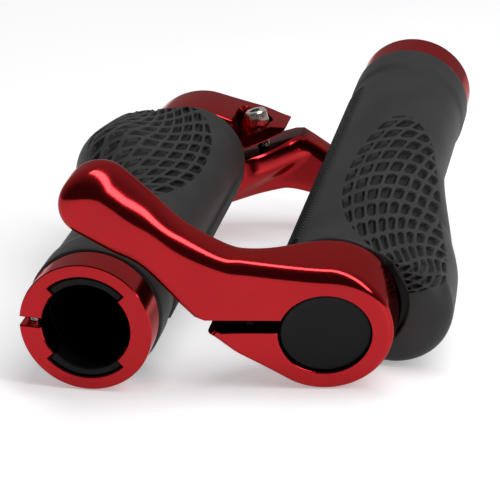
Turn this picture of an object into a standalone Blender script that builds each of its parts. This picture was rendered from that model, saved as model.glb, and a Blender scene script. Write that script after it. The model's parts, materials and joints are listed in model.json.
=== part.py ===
"""A pair of lock-on handlebar grips with bar ends, lying across each other on a floor.

Each grip is built in its own frame: the origin is on the bar's axis at the bar end's outer face, +Y runs
inwards along the bar, +X points back towards the palm and +Z up to the horn's side. The right-hand grip is
the mirror image of the left-hand one, turned upside down. All lengths are in metres.
"""

import math

import bmesh
import bpy
from mathutils import Matrix, Vector
from mathutils.geometry import delaunay_2d_cdt

# Handlebar and fits
BAR_DIAMETER = 0.0222
BAR_CLEARANCE = 0.0001
SEAT_GAP = 0.0003
SCREW_CLEARANCE = 0.00015
EDGE_BREAK = 0.0004
AROUND = 40
SHARP_ANGLE = 35.0

# Grip sleeve and its palm wing
SLEEVE_LENGTH = 0.1128
SLEEVE_RADIUS = 0.0166
OUTER_END_RADIUS = 0.0169
OUTER_END_LENGTH = 0.008
FLANGE_RADIUS = 0.0172
FLANGE_LENGTH = 0.0085
FLANGE_STEP = 0.0045
SLEEVE_EDGE = 0.0008
WING_REACH = 0.029
WING_ROUND = 0.0155
WING_TURN_AT_END = 12.2
WING_TURN_MORE = 29.9
WING_TURN_LENGTH = 0.0388
WING_FULL_LENGTH = 0.0237
WING_FADE_LENGTH = 0.0518
WING_CORNER = 0.0020
WING_CORNER_LENGTH = 0.0060

# Pockets sunk into the sleeve on two leaf-shaped patches, mirrored about a plane through the bar's axis.
# Columns follow the bar and bow with it, closing up towards its outer end, and rows slant over them.
# Angles open from that plane.
LEAF_PLANE = -21.0
LEAF_MIDDLE = 0.036
LEAF_HALF_LENGTH = 0.036
LEAF_SPAN = (29.0, 130.0)
LEAF_INNER_SPAN = (92.0, 92.0)
LEAF_OUTER_SPAN = (33.0, 72.0)
LEAF_MARGIN = 6.0
LEAF_START = 0.0025
POCKET_COLUMNS = 10
POCKET_COLUMN = 12.4
FIRST_COLUMN = 125.3
COLUMN_BOW = 25.6
COLUMN_SQUEEZE = 0.66
LOWEST_ROW = -8
HIGHEST_ROW = 5
POCKET_ROW = 0.0075
FIRST_ROW = 0.0343
ROW_SLANT = 0.0031
POCKET_SHARE_AROUND = 0.374
POCKET_SHARE_ALONG = 0.39
POCKET_SHARES = (1.0, 0.8, 0.6, 0.4)
POCKET_DEPTH = 0.0008
POCKET_TAPER = 0.12

# Core tube with its two lugs
CORE_WALL = 0.0019
CORE_RECESS = 0.0005

# Lock ring and its screw
RING_RADIUS = 0.0167
RING_WIDTH = 0.0086
RING_SLIT = 0.0023
RING_SLIT_TURN = 17.0
NOTCH_ANGLE = 90.0
RING_SCREW_RADIUS = 0.00125
RING_SCREW_HEAD_RADIUS = 0.0022
RING_SCREW_HEAD = 0.0022
RING_SCREW_LENGTH = 0.0085
RING_SCREW_SEAT = 0.0020
RING_SCREW_SOCKET = 0.0020
RING_SCREW_SOCKET_DEPTH = 0.0012

# Bar end: clamp, jaw and horn
CLAMP_WIDTH = 0.0177
CLAMP_WALL = 0.0050
CLAMP_ROUND = 0.0032
CLAMP_EDGE = 0.0016
CLAMP_ROUND_FADE = 75.0
SLIT_WIDTH = 0.0033
SLIT_HEIGHT = 0.0007
JAW_REACH = 0.0285
JAW_TIP_ROUND = 0.0012
HORN_ROOT_REACH = 0.0314
HORN_LEAN = 13.0
HORN_RISE = 38.0
HORN_KNEE_REACH = 0.0295
HORN_KNEE_HEIGHT = 0.01465
HORN_LENGTH = 0.0318
HORN_WAIST_AT = 0.01145
HORN_BULB_AT = 0.0216
HORN_KNEE_THICKNESS = 0.0112
HORN_TIP_THICKNESS = 0.0150
HORN_KNEE_WIDTH = 0.0154
HORN_WAIST_WIDTH = 0.0132
HORN_BULB_WIDTH = 0.0154
HORN_TIP_RADIUS = 0.0084
HORN_ROUND = 0.0052
HORN_ROOT_ROUND = 0.0028
NECK_REACH = 0.0180
NECK_HEIGHT = 0.0182
THINNING_START = 0.014
THINNING_END = 0.034

# Bar end bolt
BOLT_REACH = 0.0200
BOLT_RADIUS = 0.0020
BOLT_HEAD_RADIUS = 0.0035
BOLT_HEAD = 0.0044
SPOT_FACE_RADIUS = 0.0047
BOLT_LENGTH = 0.0160
BOLT_SEAT = 0.0036
BOLT_SOCKET = 0.0030
BOLT_SOCKET_DEPTH = 0.0022
BOLT_HOLE_SPARE = 0.0010

# End plug
PLUG_RECESS = 0.0008
PLUG_RIM = 0.0025
PLUG_STEM_RADIUS = 0.0088
PLUG_STEM_WALL = 0.0016
PLUG_STEM_LENGTH = 0.0120
PLUG_DISH = 0.0006

# How the pair lies: the left-hand grip rises over the other one's horn
GRIP_SPACING = 0.05784
LEFT_SET_BACK = 0.0091
LEFT_HEIGHT = 0.0160
LEFT_YAW = 3.16
LEFT_PITCH = 8.44
LEFT_ROLL = 2.0
RIGHT_PITCH = 0.5
RIGHT_ROLL = 15.0
PAIR_TILT = 4.0
PAIR_TILT_HEADING = 10.6

# Sizes worked out from the ones above
BORE_RADIUS = BAR_DIAMETER / 2 + BAR_CLEARANCE
CORE_RADIUS = BORE_RADIUS + CORE_WALL
NOTCH_RADIUS = CORE_RADIUS + SEAT_GAP
SLEEVE_BORE_RADIUS = CORE_RADIUS + SEAT_GAP
SLEEVE_START = CLAMP_WIDTH + SEAT_GAP
SLEEVE_END = SLEEVE_START + SLEEVE_LENGTH
RING_START = SLEEVE_END + SEAT_GAP
RING_END = RING_START + RING_WIDTH
CLAMP_RADIUS = BORE_RADIUS + CLAMP_WALL
SLIT_TOP = SLIT_HEIGHT + SLIT_WIDTH
LEAN_SLOPE = math.tan(math.radians(HORN_LEAN))
RING_SCREW_REACH = (BORE_RADIUS + RING_RADIUS) / 2
BOLT_SEAT_HEIGHT = SLIT_HEIGHT - BOLT_SEAT
LUG_ANGLE = NOTCH_ANGLE - 2.0 * math.degrees(SEAT_GAP / BORE_RADIUS)

RUBBER = ((0.045, 0.045, 0.043, 1.0), 0.75, 0.0)
PLASTIC = ((0.012, 0.012, 0.013, 1.0), 0.5, 0.0)
RED_ALUMINIUM = ((0.45, 0.012, 0.02, 1.0), 0.28, 1.0)
STEEL = ((0.62, 0.61, 0.58, 1.0), 0.25, 1.0)


def clear_scene():
    """Removes every object that a new file starts with."""
    for thing in list(bpy.data.objects):
        bpy.data.objects.remove(thing, do_unlink=True)


def finish(name, look):
    """A Principled material with a colour, a roughness and a metallic value."""
    colour, roughness, metallic = look
    surface = bpy.data.materials.new(name)
    surface.use_nodes = True
    shader = surface.node_tree.nodes["Principled BSDF"]
    shader.inputs["Base Color"].default_value = colour
    shader.inputs["Roughness"].default_value = roughness
    shader.inputs["Metallic"].default_value = metallic
    surface.diffuse_color = colour
    return surface


def smoothstep(value):
    """Runs from 0 to 1 with level ends."""
    value = min(max(value, 0.0), 1.0)
    return value * value * (3.0 - 2.0 * value)


def circle_angles(count=AROUND):
    return [2.0 * math.pi * i / count for i in range(count)]


def loft(rings, wrap=False):
    """Skin over rings of equal point counts; wrapped into a tube, or capped at both ends."""
    skin = bmesh.new()
    loops = [[skin.verts.new(point) for point in ring] for ring in rings]
    pairs = list(zip(loops, loops[1:]))
    if wrap:
        pairs.append((loops[-1], loops[0]))
    else:
        skin.faces.new(loops[0])
        skin.faces.new(loops[-1])
    for near, far in pairs:
        for i in range(len(near)):
            j = (i + 1) % len(near)
            skin.faces.new((near[i], near[j], far[j], far[i]))
    return skin


def place(name, skin, look, parent, hand, location=(0.0, 0.0, 0.0)):
    """Turns a skin into a named object under its grip's empty, mirrored in X for a right hand."""
    if hand < 0:
        bmesh.ops.scale(skin, vec=(-1.0, 1.0, 1.0), verts=skin.verts)
    bmesh.ops.recalc_face_normals(skin, faces=skin.faces)
    shape = bpy.data.meshes.new(name)
    skin.to_mesh(shape)
    skin.free()
    shape.shade_smooth()
    shape.set_sharp_from_angle(angle=math.radians(SHARP_ANGLE))
    thing = bpy.data.objects.new(name, shape)
    bpy.context.scene.collection.objects.link(thing)
    thing.parent = parent
    thing.location = (hand * location[0], location[1], location[2])
    shape.materials.append(finish(name + "_finish", look))
    return thing


def cut(thing, cutter):
    """Takes a cutter away from an object; the cutter itself isn't part of the pair."""
    cutter.hide_render = True
    cutter.display_type = "WIRE"
    difference = thing.modifiers.new("cut_" + cutter.name, "BOOLEAN")
    difference.operation = "DIFFERENCE"
    difference.object = cutter


def round_bar(radius, start, end, count=24):
    """A plain round bar along Z."""
    rings = []
    for height in (start, end):
        rings.append([(radius * math.cos(a), radius * math.sin(a), height) for a in circle_angles(count)])
    return loft(rings)


def slot_bar(radius, reach, start, end, count=24):
    """A bar along Z with a U-shaped section: half a circle towards -Y and straight sides out to +Y."""
    arc = [math.pi + math.pi * i / count for i in range(count + 1)]
    outline = [(radius * math.cos(a), radius * math.sin(a)) for a in arc]
    outline += [(radius, reach), (-radius, reach)]
    return loft([[(x, y, height) for x, y in outline] for height in (start, end)])


def socket_screw(head_radius, head_height, radius, length, socket, depth):
    """A socket cap screw along Z: the head hangs below z = 0 and the shank rises from it."""
    count = 24

    def ring(size, height):
        return [(size * math.cos(a), size * math.sin(a), height) for a in circle_angles(count)]

    def hexagon(height):
        points = []
        for a in circle_angles(count):
            fold = (a % (math.pi / 3.0)) - math.pi / 6.0
            size = socket / 2.0 / math.cos(fold)
            points.append((size * math.cos(a), size * math.sin(a), height))
        return points

    return loft([
        ring(radius - EDGE_BREAK, length),
        ring(radius, length - EDGE_BREAK),
        ring(radius, 0.0),
        ring(head_radius, 0.0),
        ring(head_radius, EDGE_BREAK - head_height),
        ring(head_radius - EDGE_BREAK, -head_height),
        hexagon(-head_height),
        hexagon(depth - head_height),
    ])


def curve_through(points, steps):
    """Catmull-Rom curve through the inner points, the first and last only giving its end directions."""
    track = []
    for before, start, end, after in zip(points, points[1:], points[2:], points[3:]):
        for i in range(steps):
            t = i / steps
            weights = (
                -0.5 * t + t * t - 0.5 * t ** 3,
                1.0 - 2.5 * t * t + 1.5 * t ** 3,
                0.5 * t + 2.0 * t * t - 1.5 * t ** 3,
                -0.5 * t * t + 0.5 * t ** 3,
            )
            corners = (before, start, end, after)
            track.append(tuple(sum(w * c[k] for w, c in zip(weights, corners)) for k in range(2)))
    track.append(tuple(points[-2]))
    return track


def inward_normals(outline):
    """Unit normals that point into a counterclockwise outline, mitred at its corners."""
    normals = []
    count = len(outline)
    for i in range(count):
        before = Vector(outline[i]) - Vector(outline[i - 1])
        after = Vector(outline[(i + 1) % count]) - Vector(outline[i])
        first = Vector((-before.y, before.x)).normalized()
        second = Vector((-after.y, after.x)).normalized()
        middle = (first + second).normalized()
        normals.append(middle / max(middle.dot(first), 0.5))
    return normals


def sleeve_body_radius(along):
    """Radius of the round body: a little flare at the outer end and a flange at the inner one."""
    flare = (OUTER_END_RADIUS - SLEEVE_RADIUS) * (1.0 - smoothstep(along / OUTER_END_LENGTH))
    step_start = SLEEVE_LENGTH - FLANGE_LENGTH - FLANGE_STEP
    rise = (FLANGE_RADIUS - SLEEVE_RADIUS) * smoothstep((along - step_start) / FLANGE_STEP)
    return SLEEVE_RADIUS + flare + rise


def sleeve_radius(along, angle):
    """Distance of the sleeve's surface from the bar's axis: the hull of its round body and a round wing."""
    body = sleeve_body_radius(along)
    lobe = min(WING_ROUND, body)
    fade = 1.0 - smoothstep((along - WING_FULL_LENGTH) / WING_FADE_LENGTH)
    lost = max(1.0 - along / WING_CORNER_LENGTH, 0.0)
    corner = WING_CORNER * (1.0 - math.sqrt(1.0 - lost * lost))
    buried = body - lobe
    centre = buried + (WING_REACH - lobe - buried) * fade - corner
    turn = WING_TURN_AT_END + WING_TURN_MORE * min(along / WING_TURN_LENGTH, 1.0)
    off = abs((angle + math.radians(turn) + math.pi) % (2.0 * math.pi) - math.pi)
    if centre <= buried:
        return body
    slant = math.acos(buried / centre)
    contact = math.atan2(lobe * math.sin(slant), centre + lobe * math.cos(slant))
    if off <= contact:
        return centre * math.cos(off) + math.sqrt(lobe ** 2 - (centre * math.sin(off)) ** 2)
    if off <= slant:
        return body / math.cos(slant - off)
    return body


def leaf_span(along):
    """Lowest and highest angle of a leaf at a place along the sleeve, measured from the leaves' plane.

    The leaf is widest at its middle and closes elliptically, to a tip inside and to an open end outside.
    """
    t = (along - LEAF_MIDDLE) / LEAF_HALF_LENGTH
    swell = math.sqrt(max(1.0 - t * t, 0.0))
    ends = LEAF_INNER_SPAN if t > 0.0 else LEAF_OUTER_SPAN
    return [end + (middle - end) * swell for end, middle in zip(ends, LEAF_SPAN)]


def lattice_place(column, row):
    """Place along the sleeve and angle from the leaves' plane of a point of the lattice of pockets."""
    along = FIRST_ROW + ROW_SLANT * column + POCKET_ROW * row
    t = (along - LEAF_MIDDLE) / LEAF_HALF_LENGTH
    squeeze = COLUMN_SQUEEZE * max(-t, 0.0) * column ** 2
    return along, FIRST_COLUMN - COLUMN_BOW * t * t - POCKET_COLUMN * column + squeeze


def pocket_rim(column, row):
    """Corners of one pocket; one that lies outside the leaf is drawn in towards the pocket's middle."""
    rim = []
    for across, ahead in ((-1, -1), (1, -1), (1, 1), (-1, 1)):
        for share in POCKET_SHARES:
            spread_around = across * share * POCKET_SHARE_AROUND
            spread_along = ahead * share * POCKET_SHARE_ALONG
            along, angle = lattice_place(column + spread_around, row + spread_along)
            low, high = leaf_span(along)
            if low < angle < high and along > LEAF_START:
                rim.append((along, angle))
                break
    return rim


def pocket_rims():
    """Rims of all the whole pockets of both leaves, as (along, angle about the bar) pairs."""
    rims = []
    for column in range(POCKET_COLUMNS):
        for row in range(LOWEST_ROW, HIGHEST_ROW + 1):
            rim = pocket_rim(column, row)
            if len(rim) == 4:
                for way in (1.0, -1.0):
                    rims.append([(along, math.radians(LEAF_PLANE + way * angle)) for along, angle in rim])
    return rims


def on_leaf(along, angle):
    """Whether a place on the sleeve lies on a leaf or within a margin of it."""
    off = math.degrees(abs((angle - math.radians(LEAF_PLANE) + math.pi) % (2.0 * math.pi) - math.pi))
    low, high = leaf_span(along)
    return along < LEAF_MIDDLE + LEAF_HALF_LENGTH and low - LEAF_MARGIN < off < high + LEAF_MARGIN


def sleeve_skin():
    """Outer skin, triangulated on the unrolled sleeve round the pockets' rims, then both ends and the bore.

    The unrolled sleeve is cut open opposite the leaves' plane, and its two cut sides share their points.
    """
    step_start = SLEEVE_LENGTH - FLANGE_LENGTH - FLANGE_STEP
    spans = 16
    stations = [SLEEVE_EDGE + (step_start - SLEEVE_EDGE) * i / spans for i in range(spans + 1)]
    stations += [step_start + FLANGE_STEP / 2.0, step_start + FLANGE_STEP, SLEEVE_LENGTH - SLEEVE_EDGE]
    seam = math.radians(LEAF_PLANE) - math.pi
    angles = [seam + a for a in circle_angles()]
    skin = bmesh.new()

    def corner(along, angle, inset=0.0, where=None):
        size = sleeve_radius(along, angle) - inset
        end = SLEEVE_START + (along if where is None else where)
        return skin.verts.new((size * math.cos(angle), end, size * math.sin(angle)))

    def bore(where):
        size = SLEEVE_BORE_RADIUS
        return [skin.verts.new((size * math.cos(a), where, size * math.sin(a))) for a in angles]

    spots = []
    corners = []
    owners = []

    def add_spot(along, angle, vertex, owner=None):
        spots.append(Vector((SLEEVE_RADIUS * (angle - seam), along)))
        corners.append(vertex)
        owners.append(owner)

    first = []
    last = []
    for along in stations:
        at_end = along in (stations[0], stations[-1])
        ring = [None if not at_end and on_leaf(along, a) else corner(along, a) for a in angles]
        for a, vertex in zip(angles, ring):
            if vertex:
                add_spot(along, a, vertex)
        add_spot(along, seam + 2.0 * math.pi, ring[0])
        first = first or ring
        last = ring
    borders = []
    for owner, rim in enumerate(pocket_rims()):
        count = len(rim)
        borders += [(len(spots) + i, len(spots) + (i + 1) % count) for i in range(count)]
        middle = [sum(spot[k] for spot in rim) / count for k in range(2)]
        top = [corner(*spot) for spot in rim]
        for spot, vertex in zip(rim, top):
            add_spot(*spot, vertex, owner)
        floor = []
        for spot in rim:
            along, angle = [spot[k] + (middle[k] - spot[k]) * POCKET_TAPER for k in range(2)]
            floor.append(corner(along, angle, POCKET_DEPTH))
        skin.faces.new(floor)
        for i in range(count):
            j = (i + 1) % count
            skin.faces.new((top[i], top[j], floor[j], floor[i]))
    for triangle in delaunay_2d_cdt(spots, borders, [], 0, 1e-7)[2]:
        owned = {owners[k] for k in triangle}
        if len(owned) > 1 or None in owned:
            skin.faces.new([corners[k] for k in triangle])

    outer_edge = [corner(0.0, a, SLEEVE_EDGE) for a in angles]
    inner_edge = [corner(stations[-1], a, SLEEVE_EDGE, SLEEVE_LENGTH) for a in angles]
    rings = [first, outer_edge, bore(SLEEVE_START), bore(SLEEVE_END), inner_edge, last]
    for near, far in zip(rings, rings[1:]):
        for i in range(AROUND):
            j = (i + 1) % AROUND
            skin.faces.new((near[i], near[j], far[j], far[i]))
    return skin


def sleeve(name, parent, hand):
    """Rubber sleeve over the core, with its palm wing and pockets."""
    place(name, sleeve_skin(), RUBBER, parent, hand)


def core(name, parent, hand):
    """Hard tube inside the sleeve; two lugs carry its wall on through the lock ring's notches."""
    start = SLEEVE_START + CORE_RECESS
    lug_end = RING_END - CORE_RECESS
    steps = AROUND // 4
    angles = []
    in_lug = []
    for middle in (90.0 - RING_SLIT_TURN, 270.0 - RING_SLIT_TURN):
        spans = ((middle - LUG_ANGLE / 2.0, LUG_ANGLE), (middle + LUG_ANGLE / 2.0, 180.0 - LUG_ANGLE))
        for first, width in spans:
            angles += [math.radians(first + width * i / steps) for i in range(steps)]
            in_lug += [width == LUG_ANGLE] * steps

    def ring(size, where):
        return [(size * math.cos(a), where, size * math.sin(a)) for a in angles]

    tube = loft([
        ring(BORE_RADIUS, start),
        ring(CORE_RADIUS, start),
        ring(CORE_RADIUS, SLEEVE_END),
        ring(BORE_RADIUS, SLEEVE_END),
    ], wrap=True)
    tube.faces.ensure_lookup_table()
    end_faces = [face for face, lug in zip(tube.faces[2 * AROUND:3 * AROUND], in_lug) if lug]
    raised = bmesh.ops.extrude_face_region(tube, geom=end_faces)
    bmesh.ops.delete(tube, geom=end_faces, context="FACES_ONLY")
    lug_points = [item for item in raised["geom"] if isinstance(item, bmesh.types.BMVert)]
    bmesh.ops.translate(tube, verts=lug_points, vec=(0.0, lug_end - SLEEVE_END, 0.0))
    place(name, tube, PLASTIC, parent, hand)


def ring_outline():
    """Counterclockwise outline of the lock ring: a slit round ring, its bore widened by two notches."""
    half_slit = RING_SLIT / 2.0
    quarter = math.radians(90.0)
    half_notch = math.radians(NOTCH_ANGLE / 2.0)
    outer_start = math.asin(half_slit / RING_RADIUS)
    inner_start = math.asin(half_slit / BORE_RADIUS)
    outline = []
    outer_count = 2 * AROUND
    for i in range(outer_count + 1):
        a = outer_start + (2.0 * math.pi - 2.0 * outer_start) * i / outer_count
        outline.append((RING_RADIUS * math.cos(a), RING_RADIUS * math.sin(a)))
    inner = [
        (BORE_RADIUS, inner_start, quarter - half_notch, 4),
        (NOTCH_RADIUS, quarter - half_notch, quarter + half_notch, 10),
        (BORE_RADIUS, quarter + half_notch, 3.0 * quarter - half_notch, 10),
        (NOTCH_RADIUS, 3.0 * quarter - half_notch, 3.0 * quarter + half_notch, 10),
        (BORE_RADIUS, 3.0 * quarter + half_notch, 4.0 * quarter - inner_start, 4),
    ]
    back = []
    for size, first, last, count in inner:
        for i in range(count + 1):
            a = first + (last - first) * i / count
            back.append((size * math.cos(a), size * math.sin(a)))
    return outline + back[::-1]


def lock_ring(name, parent, hand):
    """Clamp ring over the lugs, with a bored and spot-faced hole for its screw across the slit."""
    outline = ring_outline()
    normals = inward_normals(outline)
    slit = math.radians(-RING_SLIT_TURN)
    out = Vector((math.cos(slit), 0.0, math.sin(slit)))
    along = Vector((-math.sin(slit), 0.0, math.cos(slit)))

    def level(where, inset):
        points = []
        for (x, z), inward in zip(outline, normals):
            spot = out * (x + inset * inward.x) + along * (z + inset * inward.y)
            points.append(spot + Vector((0.0, where, 0.0)))
        return points

    body = loft([
        level(RING_START, EDGE_BREAK),
        level(RING_START + EDGE_BREAK, 0.0),
        level(RING_END - EDGE_BREAK, 0.0),
        level(RING_END, EDGE_BREAK),
    ])
    ring = place(name, body, RED_ALUMINIUM, parent, hand)
    middle = (RING_START + RING_END) / 2.0
    hole_radius = RING_SCREW_RADIUS + SCREW_CLEARANCE
    pocket_radius = RING_SCREW_HEAD_RADIUS + SCREW_CLEARANCE
    seat = -(RING_SLIT / 2.0 + RING_SCREW_SEAT)
    hole_end = RING_SCREW_LENGTH + seat + SEAT_GAP
    where = out * RING_SCREW_REACH + Vector((0.0, middle, 0.0))
    turned = Vector((hand * along.x, 0.0, along.z)).to_track_quat("Z", "Y")
    cutters = (
        ("hole", round_bar(hole_radius, seat - SEAT_GAP, hole_end)),
        ("pocket", round_bar(pocket_radius, seat - RING_RADIUS, seat)),
    )
    for label, skin in cutters:
        cutter = place(name + "_" + label, skin, STEEL, parent, 1)
        cutter.location = (hand * where.x, where.y, where.z)
        cutter.rotation_euler = turned.to_euler()
        cut(ring, cutter)
    screw = socket_screw(
        RING_SCREW_HEAD_RADIUS,
        RING_SCREW_HEAD,
        RING_SCREW_RADIUS,
        RING_SCREW_LENGTH,
        RING_SCREW_SOCKET,
        RING_SCREW_SOCKET_DEPTH,
    )
    fastener = place(name + "_screw", screw, STEEL, parent, 1)
    seated = where + along * (seat - SCREW_CLEARANCE)
    fastener.location = (hand * seated.x, seated.y, seated.z)
    fastener.rotation_euler = turned.to_euler()


def horn_stations():
    """Centre points of the horn from its knee to its tip, each with half the width there."""
    rise = math.radians(HORN_RISE)
    ahead = Vector((math.cos(rise), math.sin(rise)))
    knee = Vector((HORN_KNEE_REACH, HORN_KNEE_HEIGHT))
    halves = (HORN_KNEE_WIDTH / 2.0, HORN_WAIST_WIDTH / 2.0, HORN_BULB_WIDTH / 2.0)
    places = (0.0, HORN_WAIST_AT, HORN_BULB_AT)
    stations = [(knee + ahead * place_along, half) for place_along, half in zip(places, halves)]
    return stations, knee + ahead * HORN_LENGTH, rise


def bar_end_outline():
    """Counterclockwise outline of the bar end seen from outside, horn ahead.

    It runs in along the jaw's side of the slit, round the bore, out along the slit, along the horn's
    underside, round its tip, back over the top, round the clamp and along the jaw. With each point go the
    radii of its outer and inner edges.
    """
    points = []

    def add(spot, outer_edge, inner_edge=None):
        points.append((Vector(spot), outer_edge, outer_edge if inner_edge is None else inner_edge))

    add((JAW_REACH - JAW_TIP_ROUND, SLIT_HEIGHT), EDGE_BREAK)
    low = math.asin(SLIT_HEIGHT / BORE_RADIUS)
    high = math.asin(SLIT_TOP / BORE_RADIUS)
    turns = 36
    for i in range(turns + 1):
        a = low - (2.0 * math.pi + low - high) * i / turns
        add((BORE_RADIUS * math.cos(a), BORE_RADIUS * math.sin(a)), EDGE_BREAK)
    root = Vector((HORN_ROOT_REACH, SLIT_TOP))
    slit_start = BORE_RADIUS * math.cos(high)
    slit_steps = 4
    for i in range(1, slit_steps):
        share = i / slit_steps
        grown = EDGE_BREAK + (HORN_ROOT_ROUND - EDGE_BREAK) * smoothstep(share)
        add((slit_start + (root.x - slit_start) * share, SLIT_TOP), EDGE_BREAK, grown)
    add(root, HORN_ROOT_ROUND)

    stations, tip, rise = horn_stations()
    side = Vector((math.sin(rise), -math.cos(rise)))
    lower = [root]
    lower += [centre + side * half for centre, half in stations[1:]]
    tip_start = tip + side * HORN_TIP_RADIUS
    ahead = Vector((-side.y, side.x))
    lower.append(tip_start)
    guide = [lower[0] * 2.0 - lower[1]] + lower + [tip_start + ahead * HORN_TIP_RADIUS]
    track = curve_through(guide, 4)
    for i, spot in enumerate(track[1:-1], start=1):
        add(spot, HORN_ROOT_ROUND + (HORN_ROUND - HORN_ROOT_ROUND) * smoothstep(2.0 * i / len(track)))

    tip_steps = 8
    for i in range(tip_steps + 1):
        a = rise - math.pi / 2.0 + math.pi * i / tip_steps
        add(tip + Vector((math.cos(a), math.sin(a))) * HORN_TIP_RADIUS, HORN_ROUND)

    upper = [tip - side * HORN_TIP_RADIUS]
    upper += [centre - side * half for centre, half in reversed(stations)]
    upper.append(Vector((NECK_REACH, NECK_HEIGHT)))
    crown = Vector((0.0, CLAMP_RADIUS))
    upper.append(crown)
    guide = [upper[0] + ahead * HORN_TIP_RADIUS] + upper + [crown - Vector((NECK_REACH, 0.0))]
    track = curve_through(guide, 4)
    for i, spot in enumerate(track[1:-1], start=1):
        add(spot, HORN_ROUND + (CLAMP_ROUND - HORN_ROUND) * smoothstep(i / len(track)))

    jaw_tip = Vector((JAW_REACH, SLIT_HEIGHT - JAW_TIP_ROUND))
    tangent = math.atan2(jaw_tip.y, jaw_tip.x) - math.acos(CLAMP_RADIUS / jaw_tip.length)
    back_steps = 18
    for i in range(back_steps + 1):
        a = math.pi / 2.0 + (2.0 * math.pi + tangent - math.pi / 2.0) * i / back_steps
        past_crown = math.degrees(a) - 90.0
        edge = CLAMP_ROUND + (CLAMP_EDGE - CLAMP_ROUND) * smoothstep(past_crown / CLAMP_ROUND_FADE)
        add(Vector((math.cos(a), math.sin(a))) * CLAMP_RADIUS, edge)
    jaw_steps = 4
    start = points[-1][0]
    for i in range(1, jaw_steps):
        share = i / jaw_steps
        add(start.lerp(jaw_tip, share), CLAMP_EDGE)
    add(jaw_tip, EDGE_BREAK)
    outline = [tuple(spot) for spot, outer, inner in points]
    return outline, [outer for spot, outer, inner in points], [inner for spot, outer, inner in points]


def outer_face(reach):
    """The bar end's outer face leans out along the horn."""
    return -LEAN_SLOPE * reach


def inner_face(reach):
    """The inner face is square to the bar on the clamp and comes forward to thin the horn."""
    share = smoothstep((reach - THINNING_START) / (THINNING_END - THINNING_START))
    to_tip = smoothstep((reach - THINNING_END) / HORN_LENGTH)
    thickness = HORN_KNEE_THICKNESS + (HORN_TIP_THICKNESS - HORN_KNEE_THICKNESS) * to_tip
    return CLAMP_WIDTH + share * (outer_face(reach) + thickness - CLAMP_WIDTH)


def bar_end_skin():
    """Both faces of the bar end with rounded edges, closed by caps that fill the outline."""
    outline, outer_edges, inner_edges = bar_end_outline()
    normals = inward_normals(outline)
    turns = (0.0, 30.0, 60.0, 90.0)

    def level(turn, front):
        points = []
        for (reach, height), inward, edge in zip(outline, normals, outer_edges if front else inner_edges):
            inset = edge * (1.0 - math.sin(math.radians(turn)))
            drop = edge * (1.0 - math.cos(math.radians(turn)))
            s = reach + inset * inward.x
            v = height + inset * inward.y
            y = outer_face(s) + drop if front else inner_face(s) - drop
            points.append((-s, y, v))
        return points

    rings = [level(turn, True) for turn in turns] + [level(turn, False) for turn in reversed(turns)]
    skin = bmesh.new()
    loops = [[skin.verts.new(point) for point in ring] for ring in rings]
    count = len(outline)
    for near, far in zip(loops, loops[1:]):
        for i in range(count):
            j = (i + 1) % count
            skin.faces.new((near[i], near[j], far[j], far[i]))
    border = [(i, (i + 1) % count) for i in range(count)]
    for loop, face in ((loops[0], outer_face), (loops[-1], inner_face)):
        flat = [Vector((-vertex.co.x, vertex.co.z)) for vertex in loop]
        result = delaunay_2d_cdt(flat, border, [], 1, SEAT_GAP * 1e-3)
        corners = []
        for spot, origin in zip(result[0], result[3]):
            corners.append(loop[origin[0]] if origin else skin.verts.new((-spot.x, face(spot.x), spot.y)))
        for triangle in result[2]:
            skin.faces.new([corners[k] for k in triangle])
    return skin


def bar_end(name, parent, hand):
    """Split clamp and horn in one piece, with a bolt hole across the slit and a U-shaped spot face."""
    forging = place(name, bar_end_skin(), RED_ALUMINIUM, parent, hand)
    middle = (outer_face(BOLT_REACH) + inner_face(BOLT_REACH)) / 2.0
    where = (-BOLT_REACH, middle, BOLT_SEAT_HEIGHT)
    hole_radius = BOLT_RADIUS + SCREW_CLEARANCE
    cutters = (
        ("hole", round_bar(hole_radius, -SEAT_GAP, BOLT_LENGTH + BOLT_HOLE_SPARE)),
        ("spot_face", slot_bar(SPOT_FACE_RADIUS, CLAMP_WIDTH, -CLAMP_RADIUS, 0.0)),
    )
    for label, skin in cutters:
        cut(forging, place(name + "_" + label, skin, STEEL, parent, hand, where))
    screw = socket_screw(
        BOLT_HEAD_RADIUS,
        BOLT_HEAD,
        BOLT_RADIUS,
        BOLT_LENGTH,
        BOLT_SOCKET,
        BOLT_SOCKET_DEPTH,
    )
    seated = (where[0], where[1], where[2] - SCREW_CLEARANCE)
    place(name + "_bolt", screw, STEEL, parent, hand, seated)


def end_plug(name, parent, hand):
    """Cap in the bar end's bore: a slightly dished face that leans with the bar end, and a hollow stem."""
    rim_radius = BORE_RADIUS - SEAT_GAP
    stem_inside = PLUG_STEM_RADIUS - PLUG_STEM_WALL
    rim_back = PLUG_RECESS + PLUG_RIM + LEAN_SLOPE * rim_radius
    stem_end = rim_back + PLUG_STEM_LENGTH

    def ring(size, depth, leaning):
        points = []
        for a in circle_angles():
            x = size * math.cos(a)
            y = depth - (outer_face(x) if leaning else 0.0)
            points.append((x, y, size * math.sin(a)))
        return points

    cap = loft([
        ring(rim_radius / 2.0, PLUG_RECESS + PLUG_DISH, True),
        ring(rim_radius - EDGE_BREAK, PLUG_RECESS, True),
        ring(rim_radius, PLUG_RECESS + EDGE_BREAK, True),
        ring(rim_radius, rim_back, False),
        ring(PLUG_STEM_RADIUS, rim_back, False),
        ring(PLUG_STEM_RADIUS, stem_end, False),
        ring(stem_inside, stem_end, False),
        ring(stem_inside, rim_back, False),
    ])
    place(name, cap, PLASTIC, parent, hand)


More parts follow.
